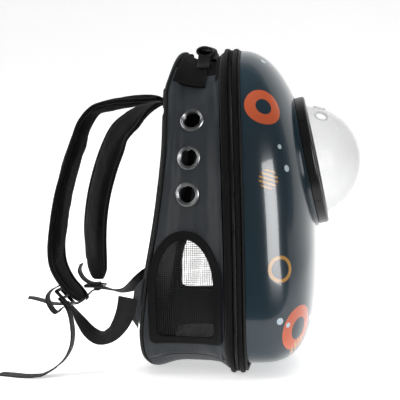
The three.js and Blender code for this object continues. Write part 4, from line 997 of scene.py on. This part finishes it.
def build_net(side):
    """Square net: threads up and across, where the cloth is cut away."""
    word = SIDE_WORD[side]
    inset = BINDING / 2 + 2 * FIT
    half, rise = WINDOW_HALF - inset, WINDOW_TOP - WINDOW_SPRING - inset
    low = SILL[side] + inset
    top = WINDOW_SPRING + rise
    pitch, thread = 2.65, 0.21

    def reach(z):
        arch = np.sqrt(np.maximum(1 - (np.maximum(z - WINDOW_SPRING, 0) / rise) ** 2, 0))
        return half * arch - np.maximum(low + WINDOW_CORNER - z, 0) * 0.5

    points, faces, base = [], [], 0

    def run(x, z, wide):
        nonlocal base
        sag = 0.8 * fbm(np.stack([x, 0 * x, z], -1), 45, 2.2 + side, 2)
        y = side * (side_y(x, z) - CLOTH / 2) + side * sag
        path = np.stack([x, y, z], 1)
        t, w, d = frames_along(path, np.zeros(len(path)), wide)
        ring = np.stack([path + w * a * thread + d * b * thread for a, b in
                         ((-1, 0), (0, -.7), (1, 0), (0, .7))], 1)
        p, f = loft(ring)
        points.append(p)
        faces.extend([[i + base for i in q] for q in f])
        base += len(p)

    for x in np.arange(WINDOW_X - half + 1, WINDOW_X + half, pitch):
        share = min(abs(x - WINDOW_X) / half, 0.999)
        high = WINDOW_SPRING + rise * math.sqrt(1 - share ** 2)
        foot = low + max(0, abs(x - WINDOW_X) - half + WINDOW_CORNER) * 0.6
        z = np.linspace(foot, high, max(int((high - foot) / 4), 4))
        run(np.full_like(z, x), z, (1, 0, 0))
    for z in np.arange(low + 1, top, pitch):
        r = float(reach(z))
        if r < 3:
            continue
        x = np.linspace(WINDOW_X - r, WINDOW_X + r, max(int(2 * r / 4), 4))
        run(x, np.full_like(x, z), (0, 0, 1))
    make(f"window_mesh_{word}_look", np.concatenate(points), faces, NET, f"window_mesh_{word}", "net", 80)


def stitches(name, path, normals, pitch=4.2, length=2.6, radius=0.28, lift=0.15, body="carrier"):
    """A row of short raised stitches along a path, in the path's own frame."""
    seg = np.linalg.norm(np.diff(path, axis=0), axis=1)
    s = np.concatenate([[0], np.cumsum(seg)])
    count = int(s[-1] / pitch)
    points, faces, base = [], [], 0
    at = (np.arange(count) + 0.5) * pitch
    prof = [(-0.5, 0.15), (-0.36, 0.85), (0.0, 1.0), (0.36, 0.85), (0.5, 0.15)]
    for a in at:
        c = [np.array([np.interp(a + u * length, s, path[:, k]) for k in range(3)]) for u, _ in prof]
        n = np.array([np.interp(a, s, normals[:, k]) for k in range(3)])
        n /= np.linalg.norm(n)
        t = c[-1] - c[0]
        t /= np.linalg.norm(t)
        b = np.cross(t, n)
        ring = []
        for centre, (_, w) in zip(c, prof):
            centre = centre + n * (lift * w - 0.1)
            ring.append([centre + radius * w * (b * math.cos(q) + n * math.sin(q))
                         for q in np.linspace(0, 2 * math.pi, 6, endpoint=False)])
        p, f = loft(np.array(ring))
        points.append(p)
        faces.extend([[i + base for i in q] for q in f])
        base += len(p)
    if points:
        make(name, np.concatenate(points), faces, THREAD, None, "webbing", 60, body)


def tape_uv(piece, path_uv):
    """Lengthwise and crosswise distances for woven tape, in metres."""
    mesh = piece.data
    uv = mesh.uv_layers.new(name="tape")
    co = np.empty(len(mesh.vertices) * 3)
    mesh.vertices.foreach_get("co", co)
    co = co.reshape(-1, 3)
    path, wide = path_uv
    path = to_frame(path)
    seg = np.linalg.norm(np.diff(path, axis=0), axis=1)
    s = np.concatenate([[0], np.cumsum(seg)])
    d2 = ((co[:, None, :] - path[None]) ** 2).sum(-1)
    near = d2.argmin(1)
    t = np.gradient(path, axis=0)
    t /= np.linalg.norm(t, axis=1, keepdims=True)
    off = co - path[near]
    u = s[near] + (off * t[near]).sum(1)
    v = (off * wide[near]).sum(1)
    index = np.empty(len(mesh.loops), int)
    mesh.loops.foreach_get("vertex_index", index)
    uv.data.foreach_set("uv", np.stack([u[index], v[index]], 1).ravel())


TAPE_SECTION = [(-.5, -.15), (-.49, -.36), (-.46, -.5), (-.25, -.5), (0, -.5), (.25, -.5), (.46, -.5),
                (.49, -.36), (.5, -.15), (.5, .15), (.49, .36), (.46, .5), (.25, .5), (0, .5),
                (-.25, .5), (-.46, .5), (-.49, .36), (-.5, .15)]


def tape(name, rows, node_name, steps, width=WEB_WIDTH, thick=WEB_THICK, floor=True):
    path, spin, length = route(rows, steps)
    t, wide, deep = frames_along(path, spin)
    curl = 0.25 * np.sin(np.linspace(0, 7, steps))[:, None]
    rings = []
    for w, d in TAPE_SECTION:
        rings.append(path + wide * (w * width) + deep * (d * thick + curl * (w * w * 4 - 0.3)))
    rings = np.stack(rings, 1)
    if floor:
        z = rings[..., 2]
        rings[..., 2] = np.where(z < thick, np.maximum(z + thick / 2, 0.02), z)
        path = path.copy()
        path[:, 2] = np.maximum(path[:, 2], thick / 2)
    piece = make(name, *loft(rings), WEBBING, node_name, "webbing", 50)
    tape_uv(piece, (path, wide))
    return piece, path, wide, deep


def build_lock(side):
    """A ladder lock: a rounded frame with three bars, the middle one a little thinner."""
    back, across, up, pitch = LOCKS[side]
    centre = np.array([-back * STRAP_REACH, across * WIDTH / 2, up * HEIGHT])
    a = math.radians(pitch)
    turn = np.array([[math.cos(a), 0, math.sin(a)], [0, 1, 0], [-math.sin(a), 0, math.cos(a)]])
    half_l, half_w, bar, thick = 14, 17, 4, 4.4

    def bar_points(start, end, width, height, dz=0.0, steps=7):
        start, end = np.array(start, float), np.array(end, float)
        d = end - start
        d /= np.linalg.norm(d)
        side_dir = np.array([-d[1], d[0], 0])
        section = rounded([(-width / 2, -height / 2), (width / 2, -height / 2),
                           (width / 2, height / 2), (-width / 2, height / 2)], 1.3, 3)
        rings = []
        for k in np.linspace(0, 1, steps):
            mid = start + (end - start) * k + [0, 0, dz]
            rings.append([mid + side_dir * u + np.array([0, 0, 1]) * v for u, v in section])
        return loft(np.array(rings) @ turn.T + centre)

    x, y = half_l - bar / 2, half_w - bar / 2
    parts = [bar_points((-x, -half_w + 0.6, 0), (-x, half_w - 0.6, 0), bar, thick),
             bar_points((0, -y, 0), (0, y, 0), bar * 0.95, thick * 0.85),
             bar_points((x, -half_w + 0.6, 0), (x, half_w - 0.6, 0), bar, thick),
             bar_points((-half_l + 0.6, -y, 0), (half_l - 0.6, -y, 0), bar, thick),
             bar_points((-half_l + 0.6, y, 0), (half_l - 0.6, y, 0), bar, thick)]
    points, faces, base = [], [], 0
    for p, f in parts:
        points.append(p)
        faces += [[i + base for i in q] for q in f]
        base += len(p)
    word = SIDE_WORD[side]
    piece = make(f"adjuster_{word}_look", np.concatenate(points), faces, LOCK_PLASTIC,
                 f"adjuster_{word}", "black_plastic", 40)
    join_solid(piece, 0.0008)


def join_solid(piece, voxel):
    """Fuses touching bars into one smooth moulding."""
    mod = piece.modifiers.new("fuse", "REMESH")
    mod.mode, mod.voxel_size, mod.use_smooth_shade = "VOXEL", voxel, True
    bake(piece)
    mod = piece.modifiers.new("soften", "SMOOTH")
    mod.factor, mod.iterations = 0.5, 3
    bake(piece)
    resmooth(piece, 60)


def puff(piece, voxel=0.005, cap=0.006, pressure=4.0, shrink=0.9, frames=20, pin=None):
    """Swells a closed pad as cloth under pressure, by no more than the cap."""
    mod = piece.modifiers.new("remesh", "REMESH")
    mod.mode, mod.voxel_size, mod.use_smooth_shade = "VOXEL", voxel, True
    bake(piece)
    mesh = piece.data
    n = len(mesh.vertices)
    before = np.empty(n * 3)
    mesh.vertices.foreach_get("co", before)
    if pin is not None:
        group = piece.vertex_groups.new(name="pin")
        weights = pin(before.reshape(-1, 3))
        for i in np.nonzero(weights > 0)[0]:
            group.add([int(i)], float(weights[i]), "REPLACE")
    mod = piece.modifiers.new("cloth", "CLOTH")
    s = mod.settings
    s.quality, s.mass = 4, 0.3
    s.tension_stiffness = s.compression_stiffness = s.shear_stiffness = 25
    s.bending_stiffness = 2
    s.use_pressure, s.uniform_pressure_force = True, pressure
    s.effector_weights.gravity = 0
    if pin is not None:
        s.vertex_group_mass = "pin"
    mod.point_cache.frame_start, mod.point_cache.frame_end = 1, frames
    for f in range(1, frames + 1):
        bpy.context.scene.frame_set(f)
    deps = bpy.context.evaluated_depsgraph_get()
    after_mesh = piece.evaluated_get(deps).to_mesh()
    after = np.empty(len(after_mesh.vertices) * 3)
    after_mesh.vertices.foreach_get("co", after)
    piece.evaluated_get(deps).to_mesh_clear()
    piece.modifiers.clear()
    bpy.context.scene.frame_set(1)
    move = (after - before).reshape(-1, 3)
    size = np.linalg.norm(move, axis=1, keepdims=True)
    move *= np.minimum(1, cap / np.maximum(size, 1e-9))
    mesh.vertices.foreach_set("co", (before.reshape(-1, 3) + move).ravel())
    mesh.update()
    sub = piece.modifiers.new("sub", "SUBSURF")
    sub.levels = sub.render_levels = 1
    bake(piece)
    resmooth(piece, 60)


def build_pad(side):
    """A padded shoulder strap with bound edges and two quilting lines."""
    word = SIDE_WORD[side]
    steps = 150
    path, spin, length = route(PAD_ROUTE[side], steps)
    t, wide, deep = frames_along(path, spin)
    u = np.linspace(0, 1, steps)
    end = np.clip(np.minimum(u / 0.03, (1 - u) / 0.05), 0, 1) ** 0.5
    tongue = np.sqrt(np.clip(1 - ((u * length - (length - 24)) / 24).clip(0) ** 2, 0.02, 1))
    narrow = (1 - 0.16 * np.exp(-((u - 0.06) / 0.09) ** 2)) * tongue
    section = []
    for q in np.linspace(0, 2 * math.pi, 36, endpoint=False):
        c, s = math.cos(q), math.sin(q)
        section.append((0.5 * math.copysign(abs(c) ** 0.55, c), 0.5 * math.copysign(abs(s) ** 0.85, s)))
    rings = []
    for w, d in section:
        crease = 1 - 0.22 * math.exp(-((abs(w) - 0.36) / 0.05) ** 2)
        rings.append(path + wide * (w * PAD_WIDTH * 0.965 * narrow)[:, None]
                     + deep * (d * PAD_THICK * 0.8 * crease * (0.55 + 0.45 * end))[:, None])
    piece = make(f"shoulder_pad_{word}_look", *loft(np.stack(rings, 1)), PAD_CLOTH,
                 f"shoulder_pad_{word}", "black_nylon", 60)
    puff(piece, voxel=0.004, cap=0.004, pressure=4)
    co = np.empty(len(piece.data.vertices) * 3)
    piece.data.vertices.foreach_get("co", co)
    co = co.reshape(-1, 3)
    mm = co * 1000 + [ORIGIN_X, 0, 0]
    near = ((mm[:, None, :] - path[None, ::2]) ** 2).sum(-1).argmin(1) * 2
    off = mm - path[near]
    w, d = (off * wide[near]).sum(1) / (PAD_WIDTH * 0.5), (off * deep[near]).sum(1)
    lines = np.exp(-((np.abs(w) - 0.72) / 0.055) ** 2)
    dip = -np.sign(d) * 1.1 * lines * (np.abs(d) > 1.5)
    wrinkle = 0.7 * fbm(mm, 17, side * 4.0) * np.exp(-((near / steps - 0.45) / 0.5) ** 2)
    mm += deep[near] * (dip + wrinkle)[:, None]
    piece.data.vertices.foreach_set("co", to_frame(mm).ravel())
    piece.data.update()
    pads.append(piece)
    for edge in (-1, 1):
        rim = path + wide * (edge * (PAD_WIDTH * 0.5 - 2.9) * narrow)[:, None]
        trim = (u > 0.01) & (tongue > 0.3)
        ring = []
        for q in np.linspace(0, 2 * math.pi, 10, endpoint=False):
            ring.append(rim[trim] + wide[trim] * (3.6 * math.cos(q)) + deep[trim] * (2.9 * math.sin(q)))
        make(f"pad_edge_{word}_{'a' if edge < 0 else 'b'}", *loft(np.stack(ring, 1)), BINDING_TAPE,
             None, "webbing", 60)


pads = []


def build_back():
    """The padded back panel, quilted into three columns by two seams, and its piping."""
    turns = np.linspace(0, 2 * math.pi, 120, endpoint=False)[:, None]
    rho = np.array([1, .985, .96, .92, .86, .78, .68, .56, .42, .26, .1, .002])
    rear = back_point(turns, rho, True)
    rear[..., 0] += 1.0
    front = back_point(turns, rho[::-1], False)
    piece = make("back_panel_look", *loft(np.concatenate([rear, front], 1), closed=True), BLACK_NYLON,
                 "back_panel", "black_nylon", 60)
    flat = to_frame([[back_x(np.array([200.0]))[0], 0, 0]])[0, 0]
    puff(piece, voxel=0.0035, cap=0.0035, pressure=3)
    co = np.empty(len(piece.data.vertices) * 3)
    piece.data.vertices.foreach_get("co", co)
    mm = co.reshape(-1, 3) * 1000 + [ORIGIN_X, 0, 0]
    y, z = mm[:, 1], mm[:, 2]
    rearward = mm[:, 0] < back_x(z) - 3
    seam = np.exp(-((np.abs(y) - 46) / 3.2) ** 2) * (z > 60) * (z < 330)
    level = np.exp(-((z - 335) / 3) ** 2) * (np.abs(y) < 100) + np.exp(-((z - 58) / 3) ** 2) * (np.abs(y) < 110)
    mm[:, 0] += np.where(rearward, 4.2 * np.maximum(seam, level), 0)
    mm[:, 0] = np.minimum(mm[:, 0], back_x(z) - 0.2)
    piece.data.vertices.foreach_set("co", to_frame(mm).ravel())
    piece.data.update()
    t = np.linspace(0, 2 * math.pi, 240, endpoint=False)
    half = BACK_PIPING / 2
    rings = []
    for q in np.linspace(0, 2 * math.pi, 12, endpoint=False):
        y, z = outline(t, *body_shape(np.ones_like(t), half - half * math.cos(q)))
        rings.append(np.stack([back_x(z) - half - 2 * FIT + half * math.sin(q), y, z], -1))
    make("back_piping_look", *loft(np.stack(rings, 1), closed=True), PIPING, "back_piping", "piping", 60)
    rings = []
    for dx, inset in ((8, 2.5), (-0.1, 2.5), (-0.1, 12), (1.1, 12), (1.1, 3.7), (8, 3.7)):
        y, z = outline(t, *body_shape(np.ones_like(t), inset))
        rings.append(np.stack([back_x(z) + dx, y, z], -1))
    make("seam_flange_back", *loft(np.stack(rings, 1), closed=True), BINDING_TAPE, None, "webbing", 60)
    ys = np.linspace(-72, 72, 60)[:, None]
    zs = np.linspace(0.809, 0.8687, 10) * HEIGHT
    out = back_face(ys, zs + 0 * ys)
    wave = 0.35 * np.sin(ys / 6.0)
    outer = np.stack([out - 3 * FIT - 2.6 + wave, ys + 0 * zs, zs + 0 * ys], -1)
    inner = np.stack([out - 3 * FIT + 0 * ys, ys + 0 * zs, zs + 0 * ys], -1)
    make("strap_yoke_look", *slab(outer, inner), BLACK_NYLON, "strap_yoke", "black_nylon", 50)
    for i, zz in enumerate((342.5, 360.5)):
        line = np.stack([back_face(ys[:, 0], zz + 0 * ys[:, 0]) - 3 * FIT - 2.7 + wave[:, 0], ys[:, 0],
                         np.full(60, zz)], 1)
        stitches(f"yoke_stitch_{i}", line, np.tile([-1.0, 0, 0], (60, 1)), 3.6)


def build_mat():
    low, high = FLAP_DEPTH + 2 * FIT, FLAP_DEPTH + 2 * FIT + 25
    xs = np.linspace(16 - BODY_DEPTH, RIM_X + 30, 34)
    inside = [float(v) for v in body_shape(np.array(0.5), CLOTH)]
    q = np.linspace(-1, 1, 41)
    rings = []
    for x in xs:
        front = max(x - RIM_X, 0) / 30
        half = 100 - 16 * front ** 2
        y = q * half
        under = WIDEST - (WIDEST - inside[2]) * (1 - (np.abs(y) / inside[0]) ** inside[4]) ** (1 / inside[4])
        floor = np.minimum(np.maximum(low + 5 * front, under + 1.5), high - 3)
        edge = np.clip(np.minimum(x - xs[0], xs[-1] - x) / 9, 0, 1) ** 0.5
        crown = (high - 5 - floor) * np.clip((1 - np.abs(q)) / 0.07, 0, 1) ** 0.5 * (0.5 + 0.5 * edge)
        top = floor + 2 + crown
        rings.append(np.concatenate([np.stack([0 * y + x, y, floor], 1),
                                     np.stack([0 * y + x, y, top], 1)[::-1]]))
    piece = make("floor_mat_look", *loft(np.array(rings)), FLEECE, "floor_mat", "fleece", 60)
    puff(piece, voxel=0.005, cap=0.004, pressure=3)
    co = np.empty(len(piece.data.vertices) * 3)
    piece.data.vertices.foreach_get("co", co)
    mm = co.reshape(-1, 3) * 1000 + [ORIGIN_X, 0, 0]
    mm[:, 2] += np.where(mm[:, 2] > 27, 1.2 * fbm(mm, 12, 7.7) - 0.8, 0)
    mm[:, 2] = np.clip(mm[:, 2], low + 0.1, high)
    piece.data.vertices.foreach_set("co", to_frame(mm).ravel())


def deck_height(y):
    front = float(band_x(np.array(float(HEIGHT))) + BODY_FRONT)
    along = (front - HANDLE_X) / (front - float(back_x(np.array(float(HEIGHT)))))
    half, top = [float(v) for v in body_shape(np.array(along), 0)[:2]]
    return WIDEST + (top - WIDEST) * (1 - (abs(y) / half) ** TOP_ROUND) ** (1 / TOP_ROUND)


def build_handle():
    """The carry handle: a straight grip of curled webbing on a flat strap sewn to the patches."""
    arc = np.radians(np.linspace(-88, 264, 48))
    tall = GRIP_HEIGHT / 2
    low = deck_height(0) + HANDLE_CLEAR
    rings = []
    for y in np.linspace(-0.5, 0.5, 70) * HANDLE_SPAN:
        end = max(abs(y) / HANDLE_SPAN * 2 - 0.9, 0) * 4
        wave = 0.4 * math.sin(y / 8)
        grasp = math.cos(math.pi * y / HANDLE_SPAN) ** 2
        high = tall * (1 - GRIP_SQUEEZE * grasp)
        ring = []
        for inset, order in ((0, 1), (HANDLE_WALL, -1)):
            for q in arc[::order]:
                ring.append([HANDLE_X + wave + (GRIP_WIDTH / 2 - inset + 0.3 * end) * math.cos(q), y,
                             low + tall + GRIP_ARCH * grasp + (high - inset) * math.sin(q) - 0.6 * end])
        rings.append(ring)
    grip_points, grip_faces = loft(np.array(rings))
    seat = 1.5 + 8 * FIT
    end = HANDLE_SPAN / 2
    foot, tip = end + HANDLE_DROP, end + HANDLE_DROP + HANDLE_SEWN
    span = np.array([end - HANDLE_LAP, end, foot, tip])
    points, faces, base = [grip_points], list(grip_faces), len(grip_points)
    for side in (-1, 1):
        ys = np.linspace(span[0], span[-1], 26)
        zs = np.interp(ys, span, [low, low, deck_height(foot) + seat, deck_height(tip) + seat])
        zs = np.convolve(np.pad(zs, 2, mode="edge"), np.ones(5) / 5, mode="valid")
        zs = np.maximum(zs, [deck_height(v) + seat - 0.3 for v in ys])
        rings = [[(HANDLE_X + u * HANDLE_STRAP, side * y, z + (v + 0.5) * HANDLE_WALL)
                  for u, v in TAPE_SECTION] for y, z in zip(ys, zs)]
        p, f = loft(np.array(rings))
        points.append(p)
        faces += [[k + base for k in q] for q in f]
        base += len(p)
    piece = make("carry_handle_look", np.concatenate(points), faces, WEBBING, "carry_handle", "webbing", 50)
    share = np.linspace(-1, 1, 90)
    line = np.stack([0 * share + HANDLE_X, share * tip, 0 * share + low], 1)
    tape_uv(piece, (line, np.tile([1.0, 0, 0], (90, 1))))


def build_patch(side):
    word = SIDE_WORD[side]
    start, end = (52, 80) if side > 0 else (100, 128)
    turns = np.radians(np.linspace(start, end, 60))[:, None]
    along = np.linspace(0.28, 0.96, 56)
    base = body_point(turns, along, 0)
    n = grid_normals(base)
    if ((base - np.array([-50, 0, 200.0])) * n).sum() < 0:
        n = -n
    lift = 0.25 * fbm(base, 15, 11)
    outer, inner = base + n * (2.3 + lift)[..., None], base + n * 0.75
    make(f"handle_patch_{word}_look", *slab(outer, inner), BLACK_NYLON, f"handle_patch_{word}",
         "black_nylon", 50)
    border = np.concatenate([outer[3:-3, 3], outer[-4, 3:-3], outer[3:-3, -4][::-1], outer[3, 3:-3][::-1]])
    bn = np.concatenate([n[3:-3, 3], n[-4, 3:-3], n[3:-3, -4][::-1], n[3, 3:-3][::-1]])
    stitches(f"patch_stitch_{word}", border, bn, 3.8)


def build_tab(side):
    word = SIDE_WORD[side]
    rows = np.linspace(0.49, 1.0, 26)
    z = rows * TAB_HIGH
    shape = np.interp(rows, [0.49, 0.6, 0.9, 1.0], [0.02, 0.8, 0.8, 0.02])
    root = back_x(z) - BACK_PIPING - 4 * FIT
    cols = np.linspace(0, 1, 12)
    x = root[:, None] - shape[:, None] * cols * TAB_REACH
    zz = z[:, None] + 0 * cols
    puffed = np.clip(np.minimum(cols, 1 - cols) / 0.12, 0, 1) ** 0.5
    thick = TAB_THICK / 2 * (0.45 + 0.5 * puffed)[None, :] + 0 * zz
    mid = side * (TAB_SIDE + TAB_THICK / 2)
    a = np.stack([x, mid - thick, zz], -1)
    b = np.stack([x, mid + thick, zz], -1)
    make(f"tab_{word}_look", *slab(a, b), NAVY_NYLON, f"tab_{word}", "navy_nylon", 50)


def seam_rows():
    """Stitch rows on the cloth beside the rear piping and the back piping."""
    for side in (-1, 1):
        word = SIDE_WORD[side]
        turns = np.radians(np.linspace(-58, 60, 200) if side > 0 else np.linspace(120, 238, 200))
        for name, along in (("front", 0.035), ("rear", 0.965)):
            p = body_point(turns, np.full(200, along), 0)
            near = body_point(turns, np.full(200, along + 0.01), 0)
            n = np.cross(np.gradient(p, axis=0), near - p)
            n /= np.linalg.norm(n, axis=1, keepdims=True)
            if ((p - [-50, 0, 200]) * n).sum() < 0:
                n = -n
            stitches(f"seam_{name}_{word}", p + n * 0.45, n, 4.0, 2.6, 0.25)


build_shell()
build_ring()
build_dome()
build_band()
for side in (-1, 1):
    build_side(side)
panel("top_panel_look", SEAM_TOP, 180 - SEAM_TOP, "top_panel", "black_nylon", 3, 80, BLACK_NYLON)
panel("bottom_panel_look", 180 + SEAM_FOOT, 360 - SEAM_FOOT, "bottom_panel", "navy_nylon", 4, 80,
      NAVY_NYLON)
build_back()
build_mat()
build_handle()
for side in (-1, 1):
    word = SIDE_WORD[side]
    build_patch(side)
    build_tab(side)
    build_pad(side)
    tape(f"buckle_loop_{word}_look", LOOP_ROUTE[side], f"buckle_loop_{word}", 60)
    tape(f"lower_webbing_{word}_look", LOWER_ROUTE[side], f"lower_webbing_{word}", 90)
    tape(f"webbing_tail_{word}_look", TAIL_ROUTE[side], f"webbing_tail_{word}", 140)
    build_lock(side)
seam_rows()

for piece, body, node_name, slot_name in rides:
    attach(piece, body)
    if node_name:
        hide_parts(node_name)


# Floor, light and camera

ROOM_DIM, FLOOR_GLOW, FLOOR_FRONT = 0.13, 0.57, 0.3


def stage():
    mesh = bpy.data.meshes.new("floor")
    rise = 3.0
    rows = [(-FLOOR_FRONT, 0), (1.2, 0)] + [(1.2 + rise * math.sin(a), rise - rise * math.cos(a))
                                     for a in np.radians(np.linspace(6, 90, 15))]
    rows.append((1.2 + rise, 8))
    points = [(x, y, z - 0.0001) for y, z in rows for x in (-9.0, 9.0)]
    faces = [[2 * i, 2 * i + 1, 2 * i + 3, 2 * i + 2] for i in range(len(rows) - 1)]
    mesh.from_pydata(points, [], faces)
    mesh.polygons.foreach_set("use_smooth", [True] * len(mesh.polygons))
    floor = bpy.data.objects.new("studio_floor", mesh)
    bpy.context.scene.collection.objects.link(floor)
    mat, nodes, links, bsdf = new_material("studio_white")
    grain = node(nodes, "ShaderNodeTexNoise", in_Scale=3.0, in_Detail=2.0)
    links.new(position(nodes), grain.inputs["Vector"])
    links.new(ramp(nodes, links, grain.outputs[0], [(0.3, (.86, .86, .86)), (0.7, (.88, .88, .88))]),
              bsdf.inputs["Base Color"])
    set_bsdf(bsdf, rough=0.6, spec=0.1)
    bsdf.inputs["Emission Color"].default_value = (1, 1, 1, 1)
    bsdf.inputs["Emission Strength"].default_value = FLOOR_GLOW
    mesh.materials.append(mat)
    world = bpy.data.worlds.new("studio")
    world.use_nodes = True
    wn, wl = world.node_tree.nodes, world.node_tree.links
    back = wn["Background"]
    # the room is dim on the camera's side and bright behind the object; the backdrop is white
    way = wn.new("ShaderNodeTexCoord")
    split = wn.new("ShaderNodeSeparateXYZ")
    wl.new(way.outputs["Generated"], split.inputs[0])
    level = wn.new("ShaderNodeMapRange")
    level.interpolation_type = "SMOOTHSTEP"
    for i, v in ((1, 0.1), (2, 0.95), (3, ROOM_DIM), (4, 1.0)):
        level.inputs[i].default_value = v
    wl.new(split.outputs[1], level.inputs[0])
    seen = wn.new("ShaderNodeLightPath")
    pick = wn.new("ShaderNodeMix")
    wl.new(seen.outputs["Is Camera Ray"], pick.inputs[0])
    wl.new(level.outputs[0], pick.inputs[2])
    pick.inputs[3].default_value = 1.0
    wl.new(pick.outputs[0], back.inputs["Strength"])
    back.inputs["Color"].default_value = (1, 1, 1, 1)
    bpy.context.scene.world = world
    bpy.context.scene.view_settings.view_transform = "Standard"

    def light(name, pos, target, size, power, glossy=True, diffuse=True):
        data = bpy.data.lights.new(name, "AREA")
        data.shape, data.size, data.size_y, data.energy = "RECTANGLE", size[0], size[1], power
        lamp = bpy.data.objects.new(name, data)
        bpy.context.scene.collection.objects.link(lamp)
        lamp.location = pos
        lamp.rotation_euler = (Vector(target) - Vector(pos)).to_track_quat("-Z", "Y").to_euler()
        lamp.visible_glossy, lamp.visible_diffuse = glossy, diffuse
        lamp.visible_transmission = diffuse
    light("key_strip", (1.36, -1.28, 0.46), (0.05, -0.13, 0.21), (1.0, 1.02), 36, True, False)
    light("top_soft", (0.0, 0.1, 2.2), (0, 0, 0.2), (2.2, 2.2), 34, False)
    light("left_soft", (-1.9, -0.9, 0.9), (-0.05, 0, 0.2), (0.6, 1.6), 22)
    light("front_soft", (0.3, -2.4, 1.4), (0, 0, 0.2), (1.4, 1.0), 9, False)
    light("back_soft", (0.9, 1.5, 1.2), (0, 0, 0.3), (1.5, 1.5), 16, False)


def camera():
    data = bpy.data.cameras.new("camera")
    data.sensor_width, data.lens = 36, 120.9
    data.clip_end = 50
    cam = bpy.data.objects.new("camera", data)
    bpy.context.scene.collection.objects.link(cam)
    pos, target = Vector((0.1285, -1.7957, 0.3)), Vector((-0.0533, 0.0, 0.2171))
    cam.location = pos
    cam.rotation_euler = (target - pos).to_track_quat("-Z", "Y").to_euler()
    bpy.context.scene.camera = cam


stage()
camera()
bpy.context.view_layer.update()
